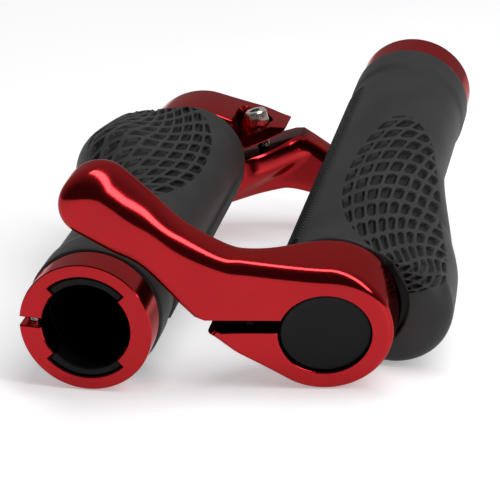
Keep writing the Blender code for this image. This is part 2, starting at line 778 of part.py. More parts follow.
def grip(side, hand, stance):
    """One whole grip under an empty on the bar's axis."""
    axis = bpy.data.objects.new(side + "_bar_axis", None)
    bpy.context.scene.collection.objects.link(axis)
    axis.matrix_world = stance
    sleeve(side + "_grip_sleeve", axis, hand)
    core(side + "_core", axis, hand)
    lock_ring(side + "_lock_ring", axis, hand)
    bar_end(side + "_bar_end", axis, hand)
    end_plug(side + "_end_plug", axis, hand)
    return axis


def box_of_pair():
    """Lowest and highest corner of all the solids, as they stand."""
    bpy.context.view_layer.update()
    graph = bpy.context.evaluated_depsgraph_get()
    corners = []
    for thing in bpy.context.scene.objects:
        if thing.type == "MESH" and not thing.hide_render:
            solid = thing.evaluated_get(graph)
            corners += [solid.matrix_world @ vertex.co for vertex in solid.data.vertices]
    low = Vector([min(c[k] for c in corners) for k in range(3)])
    high = Vector([max(c[k] for c in corners) for k in range(3)])
    return low, high


def main():
    """Builds both grips, lays one across the other and puts the origin on the floor under their middle."""
    clear_scene()
    heading = math.radians(PAIR_TILT_HEADING)
    tilt_axis = Vector((math.cos(heading), math.sin(heading), 0.0))
    tilt = Matrix.Rotation(math.radians(PAIR_TILT), 4, tilt_axis)
    turned_over = Matrix.Rotation(math.radians(-RIGHT_ROLL), 4, "Y") @ Matrix.Rotation(math.pi, 4, "X")
    pitched = Matrix.Rotation(math.radians(RIGHT_PITCH), 4, "X")
    right_ring = Matrix.Translation((0.0, 0.0, FLANGE_RADIUS)) @ pitched
    right_place = right_ring @ Matrix.Translation((0.0, RING_END, 0.0))
    right = grip("right", -1, tilt @ right_place @ turned_over)
    turned = Matrix.Rotation(math.radians(-LEFT_YAW), 4, "Z")
    raised = turned @ Matrix.Rotation(math.radians(LEFT_PITCH), 4, "X")
    rolled = raised @ Matrix.Rotation(math.radians(LEFT_ROLL), 4, "Y")
    left_place = Matrix.Translation((GRIP_SPACING, LEFT_SET_BACK, LEFT_HEIGHT))
    left = grip("left", 1, tilt @ left_place @ rolled)
    low, high = box_of_pair()
    shift = Matrix.Translation((-(low.x + high.x) / 2.0, -(low.y + high.y) / 2.0, -low.z))
    for axis in (right, left):
        axis.matrix_world = shift @ axis.matrix_world
    bpy.context.view_layer.update()


main()
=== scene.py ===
"""Looks of a pair of lock-on handlebar grips with red anodised bar ends, lying on a pale studio floor.

Each grip is worked out in millimetres in a frame of its own: the origin is on the bar's axis at the bar
end's outer face, +y runs in along the bar, +x points back to the palm and +z to the horn's side.
"""

import json

import bmesh
import bpy
import numpy as np
from mathutils import Matrix, Vector
from mathutils.geometry import delaunay_2d_cdt


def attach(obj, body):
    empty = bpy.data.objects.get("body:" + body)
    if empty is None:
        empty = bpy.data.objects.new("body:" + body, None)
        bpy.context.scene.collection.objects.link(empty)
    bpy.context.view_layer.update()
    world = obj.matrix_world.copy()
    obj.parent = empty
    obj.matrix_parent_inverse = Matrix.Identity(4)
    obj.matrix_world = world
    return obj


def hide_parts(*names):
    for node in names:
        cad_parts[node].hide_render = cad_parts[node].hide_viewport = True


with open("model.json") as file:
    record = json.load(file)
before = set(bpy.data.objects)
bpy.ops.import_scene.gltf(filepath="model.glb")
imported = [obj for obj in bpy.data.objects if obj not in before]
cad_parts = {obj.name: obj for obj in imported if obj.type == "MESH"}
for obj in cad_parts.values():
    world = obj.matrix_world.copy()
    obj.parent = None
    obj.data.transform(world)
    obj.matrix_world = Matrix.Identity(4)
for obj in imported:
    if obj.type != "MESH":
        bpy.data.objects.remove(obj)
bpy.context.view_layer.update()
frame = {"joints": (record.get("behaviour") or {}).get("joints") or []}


# Core: a hard black tube, injection moulded, that the rubber is bonded to and that slides on the handlebar.
# Two lugs carry its wall on into the lock ring, so that the clamped ring stops the grip from turning.
MM = 0.001
MERGE_DISTANCE = 1e-7
CREASE_ANGLE = 35.0
SIDES = {"left": 1.0, "right": -1.0}
BORE_RADIUS = 11.2
CLAMP_WIDTH = 17.7
SEAT_GAP = 0.3
CORE_RADIUS = 13.1
CORE_RECESS = 0.5
SLEEVE_LENGTH = 112.8
SLEEVE_START = CLAMP_WIDTH + SEAT_GAP
SLEEVE_END = SLEEVE_START + SLEEVE_LENGTH
RING_WIDTH = 8.6
RING_START = SLEEVE_END + SEAT_GAP
RING_END = RING_START + RING_WIDTH
RING_SLIT_TURN = 17.0
LUG_ANGLE = 87.0
LUG_EDGE = 0.3
LUG_COLUMNS = 28
NYLON_MOTTLES_PER_MM = 2.5
joints = {joint["name"]: joint for joint in frame["joints"]}


def own_frame(side):
    """Origin and axes of a grip: y is the bar's axis, z the bolt's, and x their product.

    On the right hand x is turned round, so that the two grips are mirror images.
    """
    turn = joints[side + "_bar_end_turn"]
    along = np.array(turn["axis"])
    up = np.array(joints[side + "_bolt_turn"]["axis"])
    return np.array(turn["pos_m"]), np.array([SIDES[side] * np.cross(along, up), along, up])


def screw_frame(joint):
    """Origin and axes of a screw: z runs from the head's seat along the shank, x and y lie across it."""
    along = np.array(joints[joint]["axis"])
    across = np.cross(along, (0.0, 1.0, 0.0))
    across /= np.linalg.norm(across)
    return np.array(joints[joint]["pos_m"]), np.array([across, np.cross(along, across), along])


def grid_faces(rows, columns, closed_rows=False):
    """Quads between neighbouring points of a grid whose last column, or row too, joins on to its first."""
    i = np.arange(rows if closed_rows else rows - 1)[:, None]
    j = np.arange(columns)[None, :]
    down = (i + 1) % rows
    right = (j + 1) % columns
    corners = [i * columns + j, down * columns + j, down * columns + right, i * columns + right]
    return np.stack(corners, -1).reshape(-1, 4).tolist()


def piece_from(name, lay, points, faces, crease=CREASE_ANGLE):
    """Mesh object at the origin: points in mm go through a frame's axes into the shared frame.

    Doubles merge, faces turn outwards, and edges that bend by more than the crease angle look sharp.
    """
    origin, axes = lay
    mesh = bpy.data.meshes.new(name)
    mesh.from_pydata((origin + (points.reshape(-1, 3) * MM) @ axes).tolist(), [], faces)
    work = bmesh.new()
    work.from_mesh(mesh)
    bmesh.ops.remove_doubles(work, verts=work.verts, dist=MERGE_DISTANCE)
    bmesh.ops.recalc_face_normals(work, faces=work.faces)
    work.to_mesh(mesh)
    work.free()
    mesh.shade_smooth()
    mesh.set_sharp_from_angle(angle=np.radians(crease))
    piece = bpy.data.objects.new(name, mesh)
    bpy.context.scene.collection.objects.link(piece)
    return piece


def belongs(piece, body, look, node=None):
    """Gives a piece its material and the body that it rides on, and hides the node that it stands for."""
    piece.data.materials.append(look)
    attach(piece, body)
    if node:
        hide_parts(node)


def around(radius, along, angles):
    """Points (radius cos a, along, radius sin a) about the bar for every row and every angle in degrees."""
    a = np.radians(angles)[None, :]
    radius, along = np.broadcast_arrays(radius, along)
    wide = np.broadcast_to(radius, (radius.shape[0], a.shape[1]))
    return np.stack([wide * np.cos(a), along + 0.0 * wide, wide * np.sin(a)], -1)


def linear(code):
    """Linear colour of an sRGB hex code: a straight toe below 0.04045, then a power of 2.4."""
    parts = np.array([int(code[i:i + 2], 16) for i in (1, 3, 5)]) / 255.0
    curve = np.where(parts <= 0.04045, parts / 12.92, ((parts + 0.055) / 1.055) ** 2.4)
    return (*curve, 1.0)


def add(tree, kind, settings=None, links=None):
    """Adds a node, sets its sockets or properties by name, and links sockets from (node, output) pairs."""
    made = tree.nodes.new(kind)
    for key, value in (settings or {}).items():
        if key in made.inputs:
            made.inputs[key].default_value = value
        else:
            setattr(made, key, value)
    for key, (source, output) in (links or {}).items():
        tree.links.new(source.outputs[output], made.inputs[key])
    return made


def new_material(name):
    """An empty node material with its shader, its output linked and a source of Object coordinates."""
    look = bpy.data.materials.new(name)
    look.use_nodes = True
    tree = look.node_tree
    tree.nodes.clear()
    shader = add(tree, "ShaderNodeBsdfPrincipled")
    add(tree, "ShaderNodeOutputMaterial", links={"Surface": (shader, "BSDF")})
    place = add(tree, "ShaderNodeTexCoord")
    return look, tree, shader, place


def moulded_nylon():
    """Black glass-filled nylon: satin, with the faint mottle of the fill about 0.4 mm across."""
    look, tree, shader, place = new_material("black moulded nylon")
    scale = NYLON_MOTTLES_PER_MM / MM
    mottle = add(tree, "ShaderNodeTexNoise", {"Scale": scale, "Detail": 3.0}, {"Vector": (place, "Object")})
    tint = add(tree, "ShaderNodeValToRGB", links={"Fac": (mottle, "Fac")})
    tint.color_ramp.elements[0].color = linear("#060607")
    tint.color_ramp.elements[1].color = linear("#0D0D0E")
    tree.links.new(tint.outputs["Color"], shader.inputs["Base Color"])
    bump = add(tree, "ShaderNodeBump", {"Strength": 0.25, "Distance": 0.04 * MM}, {"Height": (mottle, "Fac")})
    tree.links.new(bump.outputs["Normal"], shader.inputs["Normal"])
    shader.inputs["Roughness"].default_value = 0.5
    shader.inputs["Specular IOR Level"].default_value = 0.15
    return look


def core_skin():
    """Tube with lugs: columns are doubled where a lug begins and ends, so that its flanks stand straight."""
    half = LUG_ANGLE / 2.0
    angles = []
    tips = []
    for middle in (90.0 - RING_SLIT_TURN, 270.0 - RING_SLIT_TURN):
        angles.append(np.linspace(middle - half, middle + half, LUG_COLUMNS))
        angles.append(np.linspace(middle + half, middle + 180.0 - half, LUG_COLUMNS))
        tips += [np.full(LUG_COLUMNS, RING_END - CORE_RECESS), np.full(LUG_COLUMNS, SLEEVE_END)]
    angles = np.concatenate(angles)
    tip = np.concatenate(tips)
    start = np.full_like(tip, SLEEVE_START + CORE_RECESS)
    shoulder = np.full_like(tip, SLEEVE_END)
    rows = [
        (BORE_RADIUS, start),
        (CORE_RADIUS, start),
        (CORE_RADIUS, shoulder),
        (CORE_RADIUS, tip - LUG_EDGE),
        (CORE_RADIUS - LUG_EDGE, tip),
        (BORE_RADIUS + LUG_EDGE, tip),
        (BORE_RADIUS, tip - LUG_EDGE),
        (BORE_RADIUS, shoulder),
    ]
    radius = np.array([size for size, along in rows])[:, None]
    along = np.array([along for size, along in rows])
    return around(radius, along, angles), grid_faces(len(rows), len(angles), closed_rows=True)


nylon = moulded_nylon()
for side in SIDES:
    points, faces = core_skin()
    core = piece_from(side + "_core_tube", own_frame(side), points, faces)
    belongs(core, "grips", nylon, side + "_core")


# Grip sleeve: soft black rubber moulded round the core, with a palm wing that twists along the grip. Two
# leaf shaped patches, above and below the wing, are sunk with rows of pockets that leave a raised net.
SOFT_CREASE_ANGLE = 80.0
SLEEVE_RADIUS = 16.6
OUTER_END_RADIUS = 16.9
OUTER_END_LENGTH = 8.0
FLANGE_RADIUS = 17.2
FLANGE_LENGTH = 8.5
FLANGE_STEP = 4.5
STEP_END = SLEEVE_LENGTH - FLANGE_LENGTH
STEP_START = STEP_END - FLANGE_STEP
SLEEVE_EDGE = 0.8
WING_REACH = 29.0
WING_ROUND = 15.5
WING_TURN_AT_END = 12.2
WING_TURN_MORE = 29.9
WING_TURN_LENGTH = 38.8
WING_FADE = (23.7, 75.5)
WING_CORNER = 2.0
WING_CORNER_LENGTH = 6.0
WING_LEAST = 1e-6
STEEPEST_TANGENT = 1.5
WING_EDGE = 3.5
WING_EDGE_RADII = (17.5, 20.5)
WING_FACE_RADIUS = 18.0
WING_DOME = 8.0
DOME_RISE = (-15.0, 20.0)
DOME_FALL = (90.0, 120.0)
LEAF_PLANE = -21.0
LEAF_MIDDLE = 36.0
LEAF_HALF_LENGTH = 36.0
LEAF_ROWS_END = LEAF_MIDDLE + LEAF_HALF_LENGTH + 0.5
LEAF_SPAN = (29.0, 130.0)
LEAF_TIP = 92.0
LEAF_OPEN_END = (33.0, 72.0)
LEAF_RIM = 17.7
FIRST_COLUMN = 125.3
COLUMN_BOW = 25.6
COLUMN_WIDTH = 12.4
COLUMN_SQUEEZE = 0.66
LEAST_SQUEEZE = 0.001
NARROWEST_COLUMN = 5.4
COLUMNS = 11
ROW_LENGTH = 7.5
FIRST_ROW = 34.3
ROW_SLANT = 3.1
ROW_METRIC = 0.76
ROWS_CLOSER_AT_END = 2.0
POCKET_SHARES = (0.39, 0.4)
POCKET_DEPTH = 1.05
POCKET_WALL = 0.4
POCKET_CORNER = 1.0
POCKET_CORNER_SHARE = 0.8
END_RECESS = 3.0
END_RECESS_RADIUS = 17.5
END_RECESS_RADII = (18.3, 19.8)
RECESS_RIM = 0.3
RECESS_DRAFT = 0.05
NARROWEST_END_FACE = 0.9
MESH_COLUMNS_ON_LEAF = 138
MESH_LEAF_SPAN = (27.0, 132.0)
MESH_CROWDING = 0.27
MESH_COLUMNS_BETWEEN = 20
MESH_ROWS_ON_FACE = 15
MESH_ROWS_ON_EDGE = 18
MESH_ROWS_ON_LEAF = 225
MESH_ROWS_BEYOND = (12, 10, 4)
MESH_ROWS_AT_END = 6
RUBBER_MOTTLES_PER_MM = 0.09
RUBBER_GRAINS_PER_MM = 3.3


def smoothstep(value, start=0.0, end=1.0):
    """Runs from 0 at start to 1 at end, with level ends: 3 s^2 - 2 s^3 of the share s of the way."""
    share = np.clip((value - start) / (end - start), 0.0, 1.0)
    return share * share * (3.0 - 2.0 * share)


def mix(first, last, share):
    """The value that lies a share of the way from the first to the last."""
    return first + (last - first) * share


def sleeve_radius(along, angle):
    """Hull of the sleeve's round body and a round wing: an arc on the wing, its tangent, then the body."""
    flare = (OUTER_END_RADIUS - SLEEVE_RADIUS) * (1.0 - smoothstep(along, 0.0, OUTER_END_LENGTH))
    rise = (FLANGE_RADIUS - SLEEVE_RADIUS) * smoothstep(along, STEP_START, STEP_END)
    body = SLEEVE_RADIUS + flare + rise
    lobe = np.minimum(WING_ROUND, body)
    buried = body - lobe
    lost = np.clip(1.0 - along / WING_CORNER_LENGTH, 0.0, 1.0)
    corner = WING_CORNER * (1.0 - np.sqrt(1.0 - lost * lost))
    reach = mix(buried, WING_REACH - lobe, 1.0 - smoothstep(along, *WING_FADE))
    centre = np.maximum(reach - corner, buried + WING_LEAST)
    turn = np.radians(WING_TURN_AT_END + WING_TURN_MORE * np.minimum(along / WING_TURN_LENGTH, 1.0))
    off = np.abs((np.radians(angle) + turn + np.pi) % (2.0 * np.pi) - np.pi)
    slant = np.arccos(np.clip(buried / centre, -1.0, 1.0))
    contact = np.arctan2(lobe * np.sin(slant), centre + lobe * np.cos(slant))
    on_wing = centre * np.cos(off) + np.sqrt(np.maximum(lobe ** 2 - (centre * np.sin(off)) ** 2, 0.0))
    on_tangent = body / np.cos(np.clip(slant - off, -STEEPEST_TANGENT, STEEPEST_TANGENT))
    return np.where(off <= contact, on_wing, np.where(off <= slant, on_tangent, body))


def pocket_share(along, angle, radius):
    """How deep the surface is sunk, from 0 on the net to 1 on a pocket's floor.

    With t = (along - 36) / 36, taken as -1 past the wing's end, and u = max(-t, 0), column k lies at the
    angle 125.3 - 25.6 t^2 - 12.4 k + 0.66 u k^2 from the leaves' plane, solved here for k, until the columns
    are only 5.4 degrees wide, and from there they stay so. Row j lies at 34.3 + 3.1 k + 7.5 j mm, and half
    as far apart past the wing's end. A pocket is a rounded box in its cell, cut off where the leaf ends.
    """
    b = np.abs((angle - LEAF_PLANE + 180.0) % 360.0 - 180.0)
    t = (along - LEAF_MIDDLE) / LEAF_HALF_LENGTH
    squeeze = COLUMN_SQUEEZE * np.clip(-t, LEAST_SQUEEZE, 1.0)
    below = FIRST_COLUMN - COLUMN_BOW * np.maximum(t, -1.0) ** 2 - b
    local = np.sqrt(np.maximum(COLUMN_WIDTH ** 2 - 4.0 * squeeze * below, NARROWEST_COLUMN ** 2))
    even_from = (COLUMN_WIDTH ** 2 - NARROWEST_COLUMN ** 2) / (4.0 * squeeze)
    beyond = np.maximum(below - even_from, 0.0)
    column = 2.0 * (below - beyond) / (COLUMN_WIDTH + local) + beyond / NARROWEST_COLUMN
    closer = np.where(along < 0.0, ROWS_CLOSER_AT_END, 1.0)
    row = (closer * along - FIRST_ROW - ROW_SLANT * column) / ROW_LENGTH
    nearest = np.clip(np.round(column), 0, COLUMNS - 1)
    per_degree = np.radians(1.0) * radius
    width = np.maximum(COLUMN_WIDTH - 2.0 * squeeze * nearest, NARROWEST_COLUMN) * per_degree
    length = ROW_LENGTH * ROW_METRIC / closer
    corner = np.minimum(POCKET_CORNER, POCKET_CORNER_SHARE * POCKET_SHARES[0] * width)
    over_x = np.maximum(np.abs(column - nearest) * width - POCKET_SHARES[0] * width + corner, 0.0)
    over_y = np.maximum(np.abs(row - np.round(row)) * length - POCKET_SHARES[1] * length + corner, 0.0)
    from_box = np.hypot(over_x, over_y) - corner
    swell = np.sqrt(np.maximum(1.0 - t * t, 0.0))
    low_side = mix(np.where(t > 0.0, LEAF_TIP, LEAF_OPEN_END[0]), LEAF_SPAN[0], swell)
    high_side = mix(np.where(t > 0.0, LEAF_TIP, LEAF_OPEN_END[1]), LEAF_SPAN[1], swell)
    from_leaf = np.maximum(low_side - b, b - high_side) * per_degree
    past_rim = np.where(along < 0.0, LEAF_RIM - radius, -1.0)
    outside = np.maximum(np.maximum(from_box, from_leaf), past_rim)
    return smoothstep(-np.where(t < 1.0, outside, 1.0) / POCKET_WALL)


def sleeve_angles():
    """Columns of the sleeve: close on the leaves, closest towards the wing, and wide on the plain rubber."""
    share = np.linspace(0.0, 1.0, MESH_COLUMNS_ON_LEAF)
    leaf = mix(*MESH_LEAF_SPAN, mix(share, share * share, MESH_CROWDING))
    back = np.linspace(leaf[-1], 360.0 - leaf[-1], MESH_COLUMNS_BETWEEN)[1:-1]
    front = np.linspace(-leaf[0], leaf[0], MESH_COLUMNS_BETWEEN)[1:-1]
    return LEAF_PLANE + np.concatenate([leaf, back, 360.0 - leaf[::-1], 360.0 + front])


def sleeve_skin():
    """Rings along the bar, closer where the leaves are; outside they turn over a wide edge onto the end face.

    Along that edge and face the leaves go on, as if the surface were unrolled: along = edge (2 t / 90 - 1)
    on the edge's quarter circle and -edge - distance on the face, where the wing's root is set back behind
    a rim.
    """
    angles = sleeve_angles()
    flat = np.zeros_like(angles)
    first = sleeve_radius(0.0, angles)
    past = (angles + 180.0) % 360.0 - 180.0
    domed = smoothstep(past, *DOME_RISE) * (1.0 - smoothstep(past, *DOME_FALL))
    widest = np.minimum(mix(WING_EDGE, WING_DOME, domed), first - WING_FACE_RADIUS)
    edge = mix(SLEEVE_EDGE, widest, smoothstep(first, *WING_EDGE_RADII))
    side = sleeve_radius(edge, angles)
    lip = np.minimum(END_RECESS_RADIUS, side - edge - NARROWEST_END_FACE)
    recess = END_RECESS * smoothstep(side, *END_RECESS_RADII)
    sizes = [flat + CORE_RADIUS + SEAT_GAP, lip - RECESS_DRAFT, lip]
    places = [recess, recess, np.minimum(recess, RECESS_RIM)]
    relief_shade = [flat, flat, flat]

    share = np.linspace(0.0, 1.0, MESH_ROWS_ON_FACE, endpoint=False)[:, None]
    face_size = mix(lip + RECESS_RIM, side - edge, share)
    sunk = pocket_share(face_size - side, angles, face_size)
    sizes += list(face_size)
    places += list(POCKET_DEPTH * sunk)
    relief_shade += list(sunk)

    turn = np.linspace(0.0, 90.0, MESH_ROWS_ON_EDGE, endpoint=False)[:, None]
    t = np.radians(turn)
    edge_size = side - edge * (1.0 - np.sin(t))
    sunk = pocket_share(edge * (turn / 45.0 - 1.0), angles, edge_size)
    sizes += list(edge_size - POCKET_DEPTH * sunk * np.sin(t))
    places += list(edge * (1.0 - np.cos(t)) + POCKET_DEPTH * sunk * np.cos(t))
    relief_shade += list(sunk)

    share = np.linspace(0.0, 1.0, MESH_ROWS_ON_LEAF, endpoint=False)[:, None]
    stations = mix(edge, LEAF_ROWS_END, share)
    radius = sleeve_radius(stations, angles)
    sunk = pocket_share(stations, angles, radius)
    sizes += list(radius - POCKET_DEPTH * sunk)
    places += list(stations)
    relief_shade += list(sunk)

    before_step, on_step, on_flange = MESH_ROWS_BEYOND
    plain = np.concatenate([
        np.linspace(LEAF_ROWS_END, STEP_START, before_step, endpoint=False),
        np.linspace(STEP_START, STEP_END, on_step, endpoint=False),
        np.linspace(STEP_END, SLEEVE_LENGTH - SLEEVE_EDGE, on_flange),
    ])[:, None]
    radius = sleeve_radius(plain, angles)
    sizes += list(radius)
    places += list(plain + flat)
    t = np.radians(np.linspace(90.0, 0.0, MESH_ROWS_AT_END + 1))[1:, None]
    sizes += list(radius[-1] - SLEEVE_EDGE * (1.0 - np.sin(t)))
    places += list(SLEEVE_LENGTH - SLEEVE_EDGE * (1.0 - np.cos(t)) + flat)
    sizes += [flat + CORE_RADIUS + SEAT_GAP]
    places += [flat + SLEEVE_LENGTH]
    points = around(np.array(sizes), np.array(places) + SLEEVE_START, angles)
    sunk = np.zeros(points.shape[:2])
    sunk[:len(relief_shade)] = relief_shade
    return points, grid_faces(*points.shape[:2], closed_rows=True), sunk


def moulded_rubber():
    """Black TPR rubber: matte, with a mould grain of about 0.3 mm and a slow mottle.

    Painted shade: pockets are painted darker than the net between them and darkest on their walls.
    """
    look, tree, shader, place = new_material("black moulded rubber")
    scale = RUBBER_MOTTLES_PER_MM / MM
    mottle = add(tree, "ShaderNodeTexNoise", {"Scale": scale, "Detail": 4.0}, {"Vector": (place, "Object")})
    tint = add(tree, "ShaderNodeValToRGB", links={"Fac": (mottle, "Fac")})
    tint.color_ramp.elements[0].position = 0.3
    tint.color_ramp.elements[0].color = linear("#242424")
    tint.color_ramp.elements[1].position = 0.75
    tint.color_ramp.elements[1].color = linear("#2F2F2E")
    # Painted shade: the stored pocket depth darkens the base colour, nearly black on pocket walls, darker on
    # pocket floors.
    relief_shade = add(tree, "ShaderNodeAttribute", {"attribute_name": "relief_shade"})
    sunk = add(tree, "ShaderNodeValToRGB", links={"Fac": (relief_shade, "Fac")})
    sunk.color_ramp.elements[0].position = 0.05
    sunk.color_ramp.elements[1].position = 0.25
    sunk.color_ramp.elements[0].color = linear("#FFFFFF")
    sunk.color_ramp.elements[1].color = linear("#202020")
    sunk.color_ramp.elements.new(0.9).color = linear("#202020")
    sunk.color_ramp.elements.new(1.0).color = linear("#909090")
    shade = add(tree, "ShaderNodeMix", {"data_type": "RGBA", "blend_type": "MULTIPLY", "Factor": 1.0})
    tree.links.new(tint.outputs["Color"], shade.inputs[6])
    tree.links.new(sunk.outputs["Color"], shade.inputs[7])
    tree.links.new(shade.outputs[2], shader.inputs["Base Color"])
    scale = RUBBER_GRAINS_PER_MM / MM
    grain = add(tree, "ShaderNodeTexNoise", {"Scale": scale, "Detail": 2.0}, {"Vector": (place, "Object")})
    bump = add(tree, "ShaderNodeBump", {"Strength": 0.35, "Distance": 0.05 * MM}, {"Height": (grain, "Fac")})
    tree.links.new(bump.outputs["Normal"], shader.inputs["Normal"])
    shader.inputs["Roughness"].default_value = 0.55
    shader.inputs["Specular IOR Level"].default_value = 0.3
    return look


def store(piece, name, values):
    """Keeps one value for every point of a piece, for its material to read."""
    stored = piece.data.attributes.new(name, "FLOAT", "POINT")
    stored.data.foreach_set("value", values.ravel().astype(np.float32))


rubber = moulded_rubber()
for side in SIDES:
    points, faces, relief_shade = sleeve_skin()
    sleeve = piece_from(side + "_rubber_sleeve", own_frame(side), points, faces, SOFT_CREASE_ANGLE)
    # The pocket depth is stored for the rubber's material to paint as shade.
    store(sleeve, "relief_shade", relief_shade)
    belongs(sleeve, "grips", rubber, side + "_grip_sleeve")


# Finger ribs: a strip of fine cross ribs moulded into the rubber on the side where the fingers close, 1.4 mm
# apart. It stands a little proud of the sleeve and sinks into it along its borders.
RIB_PITCH = 1.4
RIB_HEIGHT = 0.6
RIB_SQUARENESS = 1.5
RIB_MIDDLE_ANGLE = 149.5
RIB_HALF_ANGLE = 15.5
RIB_START = 5.0
RIB_END = 96.0
RIB_FADE = 0.5
RIB_PROUD = 0.05
RIB_SUNK = 0.2
RIB_ROOT = 0.6
RIB_ROWS = 10
RIB_COLUMNS = 17
PAINTED_GROOVE_SHADE = 0.12


def rib_skin():
    """Strip on the sleeve's surface, with a root inside it.

    Its height is 0.05 + 0.6 smoothstep(1.5 cos^2(pi along / 1.4)), and falls to -0.2 at its borders.
    """
    stations = np.arange(RIB_START, RIB_END, RIB_PITCH / RIB_ROWS)[:, None]
    share = np.linspace(-1.0, 1.0, RIB_COLUMNS)[None, :]
    angle = RIB_MIDDLE_ANGLE + RIB_HALF_ANGLE * share
    base = sleeve_radius(stations, angle)
    ends = np.minimum(stations - RIB_START, RIB_END - stations)
    sides = (1.0 - np.abs(share)) * np.radians(RIB_HALF_ANGLE) * SLEEVE_RADIUS
    fade = smoothstep(np.minimum(ends, sides), 0.0, RIB_FADE)
    wave = smoothstep(RIB_SQUARENESS * np.cos(np.pi * (stations - RIB_START) / RIB_PITCH) ** 2)
    top = base + (RIB_HEIGHT * wave + RIB_PROUD) * fade - RIB_SUNK * (1.0 - fade)
    ring = np.concatenate([top, (base - RIB_ROOT)[:, ::-1]], 1)
    turned = np.radians(np.concatenate([angle, angle[:, ::-1]], 1))
    along = SLEEVE_START + stations + 0.0 * ring
    points = np.stack([ring * np.cos(turned), along, ring * np.sin(turned)], -1)
    # Painted shade: the grooves between the ribs are stored so the material paints them a little darker.
    painted_groove_shade = PAINTED_GROOVE_SHADE * (1.0 - wave) * np.concatenate([fade, fade], 1)
    rows, columns = points.shape[:2]
    faces = grid_faces(rows, columns)
    faces.append(list(range(columns)))
    faces.append(list(range((rows - 1) * columns, rows * columns)))
    return points, faces, painted_groove_shade


for side in SIDES:
    points, faces, painted_groove_shade = rib_skin()
    ribs = piece_from(side + "_finger_ribs", own_frame(side), points, faces, SOFT_CREASE_ANGLE)
    store(ribs, "relief_shade", painted_groove_shade)
    belongs(ribs, "grips", rubber)


# Lock ring: a turned and slit ring of red anodised aluminium over the core's lugs. Its screw closes the slit,
# so that the ring grips the handlebar.
CENTRE = (0.0, 0.0)
CIRCLE_POINTS = 60
RING_RADIUS = 16.7
RING_SLIT = 2.3
RING_EDGE = 0.25
RING_POINTS = 181
NOTCH_ANGLE = 90.0
NOTCH_POINTS = 40
BESIDE_SLIT_POINTS = 16
RING_SCREW_RADIUS = 1.25
RING_SCREW_HEAD_RADIUS = 2.2
RING_SCREW_LENGTH = 8.5
SCREW_CLEARANCE = 0.15
ANODISED_DRIFTS_PER_MM = 0.045
BLAST_PITS_PER_MM = 5.2
LONGEST_MITRE = 2.0
CLEAR_OF_OUTLINE = 0.6
TRIANGLES_INSIDE = 1
CAP_EPSILON = 1e-7


def arc(centre, radius, first, last, count):
    """Points on a circle between two angles in degrees."""
    a = np.radians(np.linspace(first, last, count))
    return np.stack([centre[0] + radius * np.cos(a), centre[1] + radius * np.sin(a)], -1)


def circle(radius):
    """Points of a whole circle, 6 degrees apart."""
    return arc(CENTRE, radius, 0.0, 360.0 - 360.0 / CIRCLE_POINTS, CIRCLE_POINTS)


def inward(outline):
    """Unit normals that point into a counterclockwise outline, mitred at its corners up to twice as long."""
    ahead = np.roll(outline, -1, 0) - outline
    left = np.stack([-ahead[:, 1], ahead[:, 0]], -1)
    left /= np.linalg.norm(left, axis=1, keepdims=True)
    before = np.roll(left, 1, 0)
    middle = left + before
    middle /= np.linalg.norm(middle, axis=1, keepdims=True)
    return middle / np.maximum((middle * left).sum(1, keepdims=True), 1.0 / LONGEST_MITRE)


def points_inside(outline, pitch):
    """Points of a square grid that lie inside an outline, at least 0.6 of the pitch away from its points."""
    low, high = outline.min(0), outline.max(0)
    x, y = np.meshgrid(np.arange(low[0], high[0], pitch), np.arange(low[1], high[1], pitch))
    spots = np.stack([x.ravel(), y.ravel()], -1)
    start = outline[None]
    end = np.roll(outline, -1, 0)[None]
    spot = spots[:, None]
    crosses = (start[..., 1] > spot[..., 1]) != (end[..., 1] > spot[..., 1])
    rise = np.where(crosses, end[..., 1] - start[..., 1], 1.0)
    meets = start[..., 0] + (spot[..., 1] - start[..., 1]) / rise * (end[..., 0] - start[..., 0])
    inside = (crosses & (spot[..., 0] < meets)).sum(1) % 2 == 1
    clear = np.linalg.norm(spot - start, axis=-1).min(1) > CLEAR_OF_OUTLINE * pitch
    return spots[inside & clear]


def cap(flat, first, extra, count):
    """Triangles that fill a ring of points, whose indices start at first.

    Extra points inside the ring are filled in too, and their indices start at count.
    """
    border = [(i, (i + 1) % len(flat)) for i in range(len(flat))]
    spots = [Vector(p) for p in np.concatenate([flat, extra]).tolist()]
    result = delaunay_2d_cdt(spots, border, [], TRIANGLES_INSIDE, CAP_EPSILON)
    origin = np.array([o[0] if o else -1 for o in result[3]])
    index = np.where(origin < len(flat), first + origin, count + origin - len(flat))
    return index[np.array(result[2])].tolist()


